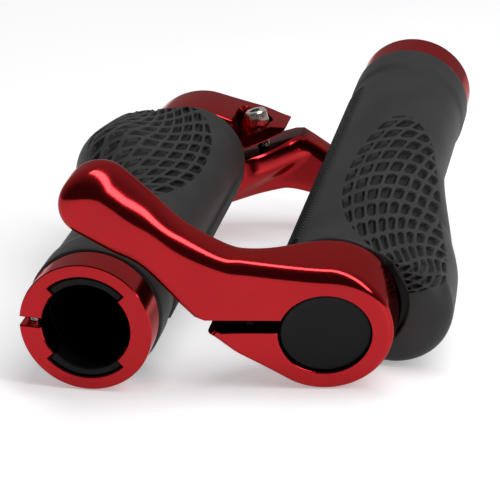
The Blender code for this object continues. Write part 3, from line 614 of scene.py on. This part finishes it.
def ring_skin():
    """Outline of the slit ring in four levels: a chamfer at each end face and straight walls between."""
    half_slit = RING_SLIT / 2.0
    outer_start = np.degrees(np.arcsin(half_slit / RING_RADIUS))
    inner_start = np.degrees(np.arcsin(half_slit / BORE_RADIUS))
    notch = CORE_RADIUS + SEAT_GAP
    half = NOTCH_ANGLE / 2.0
    outline = np.concatenate([
        arc(CENTRE, RING_RADIUS, outer_start, 360.0 - outer_start, RING_POINTS),
        arc(CENTRE, BORE_RADIUS, 360.0 - inner_start, 270.0 + half, BESIDE_SLIT_POINTS),
        arc(CENTRE, notch, 270.0 + half, 270.0 - half, NOTCH_POINTS),
        arc(CENTRE, BORE_RADIUS, 270.0 - half, 90.0 + half, NOTCH_POINTS),
        arc(CENTRE, notch, 90.0 + half, 90.0 - half, NOTCH_POINTS),
        arc(CENTRE, BORE_RADIUS, 90.0 - half, inner_start, BESIDE_SLIT_POINTS),
    ])
    normals = inward(outline)
    turn = np.radians(-RING_SLIT_TURN)
    swing = np.array([[np.cos(turn), np.sin(turn)], [-np.sin(turn), np.cos(turn)]])
    levels = [
        (RING_START, RING_EDGE),
        (RING_START + RING_EDGE, 0.0),
        (RING_END - RING_EDGE, 0.0),
        (RING_END, RING_EDGE),
    ]
    rings = []
    for along, inset in levels:
        flat = (outline + inset * normals) @ swing
        rings.append(np.stack([flat[:, 0], np.full(len(flat), along), flat[:, 1]], -1))
    count = len(outline)
    faces = grid_faces(len(levels), count)
    for level in (0, len(levels) - 1):
        faces += cap(rings[level][:, [0, 2]], level * count, np.zeros((0, 2)), 0)
    return np.concatenate(rings), faces


def anodised_aluminium():
    """Red anodised aluminium: dyed oxide over metal, satin from blasting, under a clear sealed skin.

    The walls of the bar end's slit are painted nearly black: painted shade inside the narrow slit.
    """
    look, tree, shader, place = new_material("red anodised aluminium")
    scale = ANODISED_DRIFTS_PER_MM / MM
    drift = add(tree, "ShaderNodeTexNoise", {"Scale": scale, "Detail": 3.0}, {"Vector": (place, "Object")})
    tint = add(tree, "ShaderNodeValToRGB", links={"Fac": (drift, "Fac")})
    tint.color_ramp.elements[0].position = 0.3
    tint.color_ramp.elements[0].color = linear("#A00F16")
    tint.color_ramp.elements[1].position = 0.7
    tint.color_ramp.elements[1].color = linear("#AA1219")
    # Painted shade: where the slit's walls are marked, the base colour turns to a near black red.
    slit_shade = add(tree, "ShaderNodeAttribute", {"attribute_name": "slit_shade"})
    painted_slit_shade = add(tree, "ShaderNodeMix", {"data_type": "RGBA"}, {"Factor": (slit_shade, "Fac")})
    tree.links.new(tint.outputs["Color"], painted_slit_shade.inputs[6])
    painted_slit_shade.inputs[7].default_value = linear("#240506")
    tree.links.new(painted_slit_shade.outputs[2], shader.inputs["Base Color"])
    scale = BLAST_PITS_PER_MM / MM
    blast = add(tree, "ShaderNodeTexNoise", {"Scale": scale, "Detail": 2.0}, {"Vector": (place, "Object")})
    bump = add(tree, "ShaderNodeBump", {"Strength": 0.05, "Distance": 0.02 * MM}, {"Height": (blast, "Fac")})
    tree.links.new(bump.outputs["Normal"], shader.inputs["Normal"])
    sheen = add(tree, "ShaderNodeMapRange", {"To Min": 0.11, "To Max": 0.16}, {"Value": (drift, "Fac")})
    tree.links.new(sheen.outputs["Result"], shader.inputs["Roughness"])
    shader.inputs["Metallic"].default_value = 1.0
    shader.inputs["Specular Tint"].default_value = linear("#C85858")
    shader.inputs["Coat Weight"].default_value = 0.3
    shader.inputs["Coat Roughness"].default_value = 0.1
    return look


def drill(piece, lay, bars):
    """Takes bars, given as (outline, start, end) along a frame's z, out of a piece."""
    for outline, start, end in bars:
        points = np.concatenate([np.insert(outline, 2, start, 1), np.insert(outline, 2, end, 1)])
        count = len(outline)
        faces = grid_faces(2, count) + [list(range(count)), list(range(count, 2 * count))]
        bar = piece_from("drill", lay, points, faces)
        taken = piece.modifiers.new("drilled", "BOOLEAN")
        taken.operation = "DIFFERENCE"
        taken.object = bar
        graph = bpy.context.evaluated_depsgraph_get()
        bored = bpy.data.meshes.new_from_object(piece.evaluated_get(graph))
        piece.modifiers.clear()
        piece.data = bored
        bpy.data.objects.remove(bar)
    piece.data.shade_smooth()
    piece.data.set_sharp_from_angle(angle=np.radians(CREASE_ANGLE))


anodised = anodised_aluminium()
for side in SIDES:
    points, faces = ring_skin()
    ring = piece_from(side + "_clamp_ring", own_frame(side), points, faces)
    hole = circle(RING_SCREW_RADIUS + SCREW_CLEARANCE)
    pocket = circle(RING_SCREW_HEAD_RADIUS + SCREW_CLEARANCE)
    bars = [(hole, -SEAT_GAP, RING_SCREW_LENGTH + SEAT_GAP), (pocket, -RING_RADIUS, SCREW_CLEARANCE)]
    drill(ring, screw_frame(side + "_ring_screw_turn"), bars)
    belongs(ring, "grips", anodised, side + "_lock_ring")


# Lock ring screws and bar end bolts: bright zinc plated steel socket cap screws with knurled heads. The
# ring's is M2.5, sunk in the ring across its slit; the bar end's is M4, across the slit of the clamp.
RING_SCREW_HEAD = 2.2
RING_SCREW_SOCKET = 2.0
RING_SCREW_PITCH = 0.45
RING_SCREW_KNURLS = 36
BOLT_RADIUS = 2.0
BOLT_HEAD_RADIUS = 3.5
BOLT_HEAD = 4.4
BOLT_LENGTH = 16.0
BOLT_SOCKET = 3.0
BOLT_PITCH = 0.7
BOLT_KNURLS = 48
SCREW_STEP = 2.5
SCREW_BREAK = 0.15
PLAIN_SHANK = 1.0
THREAD_START = 1.2
THREAD_SHARE = 0.3
ROWS_PER_THREAD = 4.0
KNURL_DEPTH = 0.1
HEAD_EDGE_SHARE = 0.12
SOCKET_FLOOR_SHARE = 0.45
SOCKET_POINT_SHARE = 0.4
STREAKS_PER_MM = 1.6


def screw_skin(radius, length, head_radius, head, socket, pitch, knurls):
    """Turned screw along z with a hexagon socket, its head below z = 0.

    The thread takes a triangle wave, 0.3 pitch deep, off the radius, and the knurled side of the head is
    head_radius - 0.1 |sin(knurls a / 2)|.
    """
    a = np.radians(np.arange(0.0, 360.0, SCREW_STEP))
    shank = np.arange(length, THREAD_START, -pitch / ROWS_PER_THREAD)
    thread = THREAD_SHARE * pitch * (np.abs((shank / pitch) % 1.0 - 0.5) * 2.0)
    fold = (a % (np.pi / 3.0)) - np.pi / 6.0
    hexagon = socket / 2.0 / np.cos(fold)
    knurled = head_radius - KNURL_DEPTH * np.abs(np.sin(knurls * a / 2.0))
    flat = np.zeros_like(a)
    edge = HEAD_EDGE_SHARE * head
    rows = [(flat, length)]
    rows += [(flat + radius - cut, z) for cut, z in zip(thread, shank)]
    rows += [
        (flat + radius, PLAIN_SHANK),
        (flat + radius, 0.0),
        (flat + head_radius - SCREW_BREAK, 0.0),
        (knurled, -SCREW_BREAK),
        (knurled, edge - head),
        (flat + head_radius - edge, -head),
        (hexagon + SCREW_BREAK, -head),
        (hexagon, SCREW_BREAK - head),
        (hexagon, -SOCKET_FLOOR_SHARE * head),
        (flat, -SOCKET_POINT_SHARE * head),
    ]
    size = np.array([r for r, z in rows])
    height = np.array([z for r, z in rows])[:, None] + 0.0 * size
    points = np.stack([size * np.cos(a), size * np.sin(a), height], -1)
    return points, grid_faces(*points.shape[:2])


def plated_steel():
    """Zinc plated steel: a bright grey metal, turned, with fine streaks that vary its gloss."""
    look, tree, shader, place = new_material("zinc plated steel")
    scale = STREAKS_PER_MM / MM
    streak = add(tree, "ShaderNodeTexNoise", {"Scale": scale, "Detail": 3.0}, {"Vector": (place, "Object")})
    tint = add(tree, "ShaderNodeValToRGB", links={"Fac": (streak, "Fac")})
    tint.color_ramp.elements[0].color = linear("#B9B6AE")
    tint.color_ramp.elements[1].color = linear("#DAD8D2")
    tree.links.new(tint.outputs["Color"], shader.inputs["Base Color"])
    gloss = add(tree, "ShaderNodeMapRange", {"To Min": 0.16, "To Max": 0.3}, {"Value": (streak, "Fac")})
    tree.links.new(gloss.outputs["Result"], shader.inputs["Roughness"])
    shader.inputs["Metallic"].default_value = 1.0
    return look


steel = plated_steel()
for side in SIDES:
    sizes = (RING_SCREW_RADIUS, RING_SCREW_LENGTH, RING_SCREW_HEAD_RADIUS, RING_SCREW_HEAD, RING_SCREW_SOCKET)
    points, faces = screw_skin(*sizes, RING_SCREW_PITCH, RING_SCREW_KNURLS)
    screw = piece_from(side + "_ring_socket_screw", screw_frame(side + "_ring_screw_turn"), points, faces)
    belongs(screw, side + "_ring_screw", steel, side + "_lock_ring_screw")
    sizes = (BOLT_RADIUS, BOLT_LENGTH, BOLT_HEAD_RADIUS, BOLT_HEAD, BOLT_SOCKET)
    points, faces = screw_skin(*sizes, BOLT_PITCH, BOLT_KNURLS)
    bolt = piece_from(side + "_socket_bolt", screw_frame(side + "_bolt_turn"), points, faces)
    belongs(bolt, side + "_horn_bolt", steel, side + "_bar_end_bolt")


# Bar end: forged red anodised aluminium in one piece. A split clamp, raised to a crown on top, holds the bar
# outside the grip, a jaw below the slit takes the bolt, and a horn curves forward and out to a rounded tip.
CLAMP_RADIUS = 16.2
CROWN_HEIGHT = 17.3
CROWN_FADE = 75.0
CLAMP_ROUND = 4.2
CLAMP_EDGE = 1.6
CLAMP_ROUND_FADE = 75.0
SLIT_WIDTH = 3.3
SLIT_HEIGHT = 0.7
SLIT_TOP = SLIT_HEIGHT + SLIT_WIDTH
EDGE_BREAK = 0.4
JAW_REACH = 28.5
JAW_TIP_ROUND = 1.2
JAW_BEVEL = 3.2
JAW_BEVEL_START = 20.0
HORN_ROOT_REACH = 31.4
HORN_LEAN = 13.0
HORN_RISE = 38.0
HORN_KNEE = np.array([29.5, 14.65])
HORN_LENGTH = 31.8
HORN_WAIST_AT = 11.45
HORN_BULB_AT = 21.6
HORN_KNEE_THICKNESS = 11.2
HORN_TIP_THICKNESS = 15.0
HORN_KNEE_WIDTH = 15.4
HORN_WAIST_WIDTH = 13.2
HORN_BULB_WIDTH = 15.4
HORN_TIP_RADIUS = 8.4
HORN_ROUND = 5.0
HORN_TOP_ROUND = 6.6
HORN_TOP_ROUND_SPAN = (22.0, 38.0)
HORN_BACK_ROUND = 3.4
HORN_BACK_ROUND_SPAN = (2.0, 16.0)
HORN_ROOT_ROUND = 2.8
HORN_ROOT_POINTS = 3
NECK = np.array([18.0, 19.4])
THINNING_START = (14.0, -3.0)
THINNING_END = (34.0, 21.0)
THINNING_HEIGHTS = (9.5, 18.5)
FACE_FALL = 13.0
FACE_FALL_SPAN = (12.0, 27.0)
FACE_FALL_BELOW_MIDDLE = 0.5
BOLT_HOLE_SPARE = 0.4
SPOT_FACE_RADIUS = 4.7
BORE_POINTS = 120
JAW_POINTS = 16
SLIT_POINTS = 20
CURVE_STEPS = 16
HALF_CIRCLE_POINTS = 40
BACK_POINTS = 90
EDGE_STEPS = 10
CAP_PITCH = 0.85
ON_JAW_MARGIN = 0.01
SLIT_SHADE_MARGIN = 0.1

horn_turn = np.radians(HORN_RISE)
horn_ahead = np.array([np.cos(horn_turn), np.sin(horn_turn)])
horn_side = np.array([np.sin(horn_turn), -np.cos(horn_turn)])


def curve(points, steps):
    """Catmull-Rom curve through all but the first and last of its points, which set its end directions."""
    points = np.array(points)
    t = (np.arange(steps) / steps)[None, :, None]
    before, start, end, after = (points[k:len(points) - 3 + k][:, None] for k in range(4))
    spots = (
        before * (-0.5 * t + t ** 2 - 0.5 * t ** 3)
        + start * (1.0 - 2.5 * t ** 2 + 1.5 * t ** 3)
        + end * (0.5 * t + 2.0 * t ** 2 - 1.5 * t ** 3)
        + after * (-0.5 * t ** 2 + 0.5 * t ** 3)
    )
    return np.concatenate([spots.reshape(-1, 2), points[-2:-1]])


def outer_face(reach, height):
    """Leans out along the horn by 13 degrees, and towards the tip falls away above the horn's middle line."""
    place = np.stack([reach, height], -1) - HORN_KNEE
    above = np.maximum(-(place @ horn_side) + FACE_FALL_BELOW_MIDDLE, 0.0)
    grown = smoothstep(place @ horn_ahead, *FACE_FALL_SPAN)
    return -np.tan(np.radians(HORN_LEAN)) * reach + grown * above ** 2 / (2.0 * FACE_FALL)


def inner_face(reach, height):
    """Square to the bar on the clamp, then coming forward to thin the horn, sooner above.

    From the knee on it follows the outer face's lean, at a thickness that grows to the tip.
    """
    raised = smoothstep(height, *THINNING_HEIGHTS)
    share = smoothstep(reach, mix(*THINNING_START, raised), mix(*THINNING_END, raised))
    to_tip = smoothstep((reach - THINNING_END[0]) / HORN_LENGTH)
    thickness = mix(HORN_KNEE_THICKNESS, HORN_TIP_THICKNESS, to_tip)
    lean = -np.tan(np.radians(HORN_LEAN)) * reach
    return mix(CLAMP_WIDTH, lean + thickness, share)


def bar_end_outline():
    """Counterclockwise outline in (reach, height) with the size of its outer and inner edge at each point.

    It runs in along the jaw's side of the slit, round the bore, out along the slit, under the horn, round the
    tip, back over the top, round the clamp and along the jaw.
    """
    low = np.degrees(np.arcsin(SLIT_HEIGHT / BORE_RADIUS))
    high = np.degrees(np.arcsin(SLIT_TOP / BORE_RADIUS))
    bore = arc(CENTRE, BORE_RADIUS, low, high - 360.0, BORE_POINTS)
    jaw_top = np.linspace((JAW_REACH - JAW_TIP_ROUND, SLIT_HEIGHT), bore[0], JAW_POINTS, endpoint=False)
    root = np.array([HORN_ROOT_REACH, SLIT_TOP])
    slit = np.linspace(bore[-1], root - (HORN_ROOT_ROUND, 0.0), SLIT_POINTS)[1:]
    slit = np.concatenate([slit, [root]])

    places = np.array([0.0, HORN_WAIST_AT, HORN_BULB_AT])[:, None]
    halves = np.array([HORN_KNEE_WIDTH, HORN_WAIST_WIDTH, HORN_BULB_WIDTH])[:, None] / 2.0
    middles = HORN_KNEE + places * horn_ahead
    tip = HORN_KNEE + HORN_LENGTH * horn_ahead
    tip_low = tip + HORN_TIP_RADIUS * horn_side
    tip_high = tip - HORN_TIP_RADIUS * horn_side
    below = np.concatenate([[root], (middles + halves * horn_side)[1:], [tip_low]])
    guide = np.concatenate([[2.0 * below[0] - below[1]], below, [tip_low + HORN_TIP_RADIUS * horn_ahead]])
    under = curve(guide, CURVE_STEPS)[HORN_ROOT_POINTS:-1]
    end = arc(tip, HORN_TIP_RADIUS, HORN_RISE - 90.0, HORN_RISE + 90.0, HALF_CIRCLE_POINTS)
    crown = np.array([0.0, CROWN_HEIGHT])
    above = np.concatenate([[tip_high], (middles - halves * horn_side)[::-1], [NECK], [crown]])
    guide = np.concatenate([[tip_high + HORN_TIP_RADIUS * horn_ahead], above, [crown - (NECK[0], 0.0)]])
    over = curve(guide, CURVE_STEPS)[1:-1]

    jaw_tip = np.array([JAW_REACH, SLIT_HEIGHT - JAW_TIP_ROUND])
    tangent = np.arctan2(jaw_tip[1], jaw_tip[0]) - np.arccos(CLAMP_RADIUS / np.hypot(*jaw_tip))
    back_angles = np.linspace(90.0, 360.0 + np.degrees(tangent), BACK_POINTS)
    bulge = (CROWN_HEIGHT - CLAMP_RADIUS) * (1.0 - smoothstep((back_angles - 90.0) / CROWN_FADE))
    back = arc(CENTRE, CLAMP_RADIUS + bulge, back_angles[0], back_angles[-1], BACK_POINTS)
    jaw = np.linspace(back[-1], jaw_tip, JAW_POINTS)[1:]

    along_slit, along_under, along_end, along_jaw = (
        np.linspace(0.0, 1.0, len(stretch)) for stretch in (slit, under, end, jaw)
    )
    back_edge = mix(CLAMP_ROUND, CLAMP_EDGE, smoothstep((back_angles - 90.0) / CLAMP_ROUND_FADE))
    jaw_edge = mix(CLAMP_EDGE, EDGE_BREAK, smoothstep(along_jaw))
    under_edge = mix(HORN_ROOT_ROUND, HORN_ROUND, smoothstep(2.0 * along_under))
    end_outer = mix(HORN_ROUND, HORN_TOP_ROUND, smoothstep(along_end))
    end_inner = mix(HORN_ROUND, HORN_BACK_ROUND, smoothstep(along_end))
    over_outer = mix(CLAMP_ROUND, HORN_TOP_ROUND, smoothstep(over[:, 0], *HORN_TOP_ROUND_SPAN))
    over_inner = mix(CLAMP_EDGE, HORN_BACK_ROUND, smoothstep(over[:, 0], *HORN_BACK_ROUND_SPAN))
    back_inner = np.full(len(back), CLAMP_EDGE)
    slit_outer = np.where(along_slit < 1.0, EDGE_BREAK, HORN_ROOT_ROUND)
    slit_inner = mix(EDGE_BREAK, HORN_ROOT_ROUND, smoothstep(along_slit))
    plain = [np.full(len(jaw_top), EDGE_BREAK), np.full(len(bore), EDGE_BREAK)]
    outline = np.concatenate([jaw_top, bore, slit, under, end, over, back[1:], jaw])
    outer = plain + [slit_outer, under_edge, end_outer, over_outer, back_edge[1:], jaw_edge]
    inner = plain + [slit_inner, under_edge, end_inner, over_inner, back_inner[1:], jaw_edge]
    return outline, np.concatenate(outer), np.concatenate(inner)


def bar_end_skin():
    """Quarter round edges: inset = edge (1 - sin t) and drop = edge (1 - cos t) below each face, then caps.

    On the jaw a bevel, wider towards its tip, is added to the outer edge's drop and to its inset in reach.
    """
    outline, outer_edge, inner_edge = bar_end_outline()
    normals = inward(outline)
    on_jaw = (outline[:, 1] < SLIT_HEIGHT + ON_JAW_MARGIN) & (outline[:, 0] > 0.0)
    bevel = JAW_BEVEL * on_jaw * smoothstep(outline[:, 0], JAW_BEVEL_START, JAW_REACH)
    turns = np.radians(np.linspace(0.0, 90.0, EDGE_STEPS))
    rings = []
    for t in turns:
        flat = outline + (outer_edge * (1.0 - np.sin(t)))[:, None] * normals
        flat = flat - np.outer(bevel * (1.0 - np.sin(t)), (1.0, 0.0))
        depth = outer_face(flat[:, 0], flat[:, 1]) + (outer_edge + bevel) * (1.0 - np.cos(t))
        rings.append(np.stack([-flat[:, 0], depth, flat[:, 1]], -1))
    for t in turns[::-1]:
        flat = outline + (inner_edge * (1.0 - np.sin(t)))[:, None] * normals
        depth = inner_face(flat[:, 0], flat[:, 1]) - inner_edge * (1.0 - np.cos(t))
        rings.append(np.stack([-flat[:, 0], depth, flat[:, 1]], -1))
    count = len(outline)
    points = np.concatenate(rings)
    faces = grid_faces(len(rings), count)
    for level, face in ((0, outer_face), (len(rings) - 1, inner_face)):
        flat = rings[level][:, [0, 2]] * (-1.0, 1.0)
        extra = points_inside(flat, CAP_PITCH)
        faces += cap(flat, level * count, extra, len(points))
        reach, height = extra.T
        points = np.concatenate([points, np.stack([-reach, face(reach, height), height], -1)])
    return points, faces


for side in SIDES:
    points, faces = bar_end_skin()
    origin, axes = own_frame(side)
    bar_end = piece_from(side + "_forged_bar_end", (origin, axes), points, faces)
    hole = circle(BOLT_RADIUS + SCREW_CLEARANCE)
    slot_end = [(SPOT_FACE_RADIUS, CLAMP_WIDTH), (-SPOT_FACE_RADIUS, CLAMP_WIDTH)]
    slot = np.concatenate([arc(CENTRE, SPOT_FACE_RADIUS, 180.0, 360.0, HALF_CIRCLE_POINTS), slot_end])
    bars = [(hole, -SEAT_GAP, BOLT_LENGTH + BOLT_HOLE_SPARE), (slot, -CLAMP_RADIUS, SCREW_CLEARANCE)]
    drill(bar_end, (screw_frame(side + "_bolt_turn")[0], axes), bars)
    # Painted shade: points on the slit's walls are marked for the material to paint nearly black.
    spots = np.array([vertex.co for vertex in bar_end.data.vertices])
    own = (spots - origin) @ axes.T / MM
    in_slit = np.abs(own[:, 2] - SLIT_HEIGHT - SLIT_WIDTH / 2.0) < SLIT_WIDTH / 2.0 + SLIT_SHADE_MARGIN
    before_root = (own[:, 0] < SLIT_SHADE_MARGIN - BORE_RADIUS) & (own[:, 0] > -HORN_ROOT_REACH)
    store(bar_end, "slit_shade", in_slit & before_root)
    belongs(bar_end, side + "_horn", anodised, side + "_bar_end")


# End plug: a black plastic cap pushed into the bar end's bore. Its face leans with the bar end and is a
# little dished, and a hollow stem behind it holds it in the bar.
PLUG_RECESS = 0.8
PLUG_RIM = 2.5
PLUG_RIM_EDGE = ((0.6, 0.0), (0.2, 0.12), (0.0, 0.5))
PLUG_STEM_RADIUS = 8.8
PLUG_STEM_WALL = 1.6
PLUG_STEM_LENGTH = 12.0
PLUG_DISH = 0.6
PLUG_DISH_BORDER = 1.2
PLUG_DISH_ROWS = 12
PLUG_STEP = 3.0


def plug_skin():
    """Turned profile whose face rows lean by 13 degrees with x: along = depth + x tan 13.

    The dish is 0.6 (1 - (r / rim)^4) deep, and the rim's edge is given as (inset, drop) pairs.
    """
    angles = np.arange(0.0, 360.0, PLUG_STEP)
    lean = np.tan(np.radians(HORN_LEAN))
    rim = BORE_RADIUS - SEAT_GAP
    back = PLUG_RECESS + PLUG_RIM + lean * rim
    stem_end = back + PLUG_STEM_LENGTH
    inside = PLUG_STEM_RADIUS - PLUG_STEM_WALL
    dish = np.linspace(0.0, rim - PLUG_DISH_BORDER, PLUG_DISH_ROWS)
    rows = [(r, PLUG_RECESS + PLUG_DISH * (1.0 - (r / rim) ** 4), 1.0) for r in dish]
    rows += [(rim - inset, PLUG_RECESS + drop, 1.0) for inset, drop in PLUG_RIM_EDGE]
    rows += [(rim, back, 0.0), (PLUG_STEM_RADIUS, back, 0.0), (PLUG_STEM_RADIUS, stem_end, 0.0)]
    rows += [(inside, stem_end, 0.0), (inside, back, 0.0), (0.0, back, 0.0)]
    size, along, leaning = np.array(rows).T[:, :, None]
    points = around(size, along, angles)
    points[..., 1] += lean * leaning * points[..., 0]
    return points, grid_faces(*points.shape[:2])


for side in SIDES:
    points, faces = plug_skin()
    plug = piece_from(side + "_bar_plug", own_frame(side), points, faces)
    belongs(plug, side + "_horn", nylon, side + "_end_plug")


# Studio: a white floor that glows a little, a long softbox above and to the right whose long side comes down
# towards the front right, and a room that is dark in front of the grips and grey behind them. Sizes here
# are in metres.
FLOOR_SIZE = 6.0
FLOOR_GLOW = 0.37
FLOOR_CLOUDS_PER_MM = 0.006
SOFTBOX_DIRECTION = (0.5, -0.2, 0.84)
SOFTBOX_LENGTHWAYS = (0.8, -0.45, -0.45)
SOFTBOX_DISTANCE = 1.2
SOFTBOX_SIZE = (2.0, 0.25)
SOFTBOX_POWER = 14.5
BRIGHT_DIRECTION = (0.0, 0.95, 0.3)
ROOM_FADE = (-0.4, 0.9)
CAMERA_PLACE = (0.085681, -0.468574, 0.175499)
CAMERA_DOWN = 18.635
CAMERA_TURN = 10.574
CAMERA_LENS = 129.6
CAMERA_SENSOR = 36.0
CAMERA_NEAREST = 0.01


def white_floor():
    """White acrylic sheet: nearly white, with a soft sheen and an even glow that keeps its shadows pale."""
    look, tree, shader, place = new_material("white acrylic floor")
    scale = FLOOR_CLOUDS_PER_MM / MM
    cloud = add(tree, "ShaderNodeTexNoise", {"Scale": scale}, {"Vector": (place, "Object")})
    tint = add(tree, "ShaderNodeValToRGB", links={"Fac": (cloud, "Fac")})
    tint.color_ramp.elements[0].color = linear("#F4F4F6")
    tint.color_ramp.elements[1].color = linear("#FBFBFC")
    tree.links.new(tint.outputs["Color"], shader.inputs["Base Color"])
    tree.links.new(tint.outputs["Color"], shader.inputs["Emission Color"])
    shader.inputs["Emission Strength"].default_value = FLOOR_GLOW
    shader.inputs["Roughness"].default_value = 0.5
    return look


def softbox():
    """A rectangular light that faces the grips; its long side keeps to the lengthways direction."""
    light = bpy.data.lights.new("softbox", "AREA")
    light.shape = "RECTANGLE"
    light.size, light.size_y = SOFTBOX_SIZE
    light.energy = SOFTBOX_POWER
    away = Vector(SOFTBOX_DIRECTION).normalized()
    across = away.cross(Vector(SOFTBOX_LENGTHWAYS)).normalized()
    made = bpy.data.objects.new("softbox", light)
    bpy.context.scene.collection.objects.link(made)
    made.matrix_world = Matrix((across.cross(away), across, away)).transposed().to_4x4()
    made.location = away * SOFTBOX_DISTANCE


half = FLOOR_SIZE / 2.0
corners = [(-half, -half, 0.0), (half, -half, 0.0), (half, half, 0.0), (-half, half, 0.0)]
sheet = bpy.data.meshes.new("floor")
sheet.from_pydata(corners, [], [(0, 1, 2, 3)])
floor = bpy.data.objects.new("floor", sheet)
bpy.context.scene.collection.objects.link(floor)
sheet.materials.append(white_floor())

softbox()
world = bpy.data.worlds.new("studio")
bpy.context.scene.world = world
world.use_nodes = True
sky = world.node_tree
sky.nodes.clear()
direction = add(sky, "ShaderNodeTexCoord")
facing = add(sky, "ShaderNodeVectorMath", {"operation": "DOT_PRODUCT"}, {0: (direction, "Generated")})
facing.inputs[1].default_value = BRIGHT_DIRECTION
fade = {"From Min": ROOM_FADE[0], "From Max": ROOM_FADE[1]}
shade = add(sky, "ShaderNodeMapRange", fade, {"Value": (facing, "Value")})
wall = add(sky, "ShaderNodeValToRGB", links={"Fac": (shade, "Result")})
wall.color_ramp.interpolation = "EASE"
wall.color_ramp.elements[0].color = linear("#484848")
wall.color_ramp.elements[1].color = linear("#B4B4B4")
backdrop = add(sky, "ShaderNodeBackground", links={"Color": (wall, "Color")})
add(sky, "ShaderNodeOutputWorld", links={"Surface": (backdrop, "Background")})

lens = bpy.data.cameras.new("camera")
lens.lens = CAMERA_LENS
lens.sensor_width = CAMERA_SENSOR
lens.sensor_fit = "HORIZONTAL"
lens.clip_start = CAMERA_NEAREST
camera = bpy.data.objects.new("camera", lens)
bpy.context.scene.collection.objects.link(camera)
camera.location = CAMERA_PLACE
camera.rotation_euler = (np.radians(90.0 - CAMERA_DOWN), 0.0, np.radians(CAMERA_TURN))
bpy.context.scene.camera = camera
bpy.context.scene.view_settings.view_transform = "Standard"
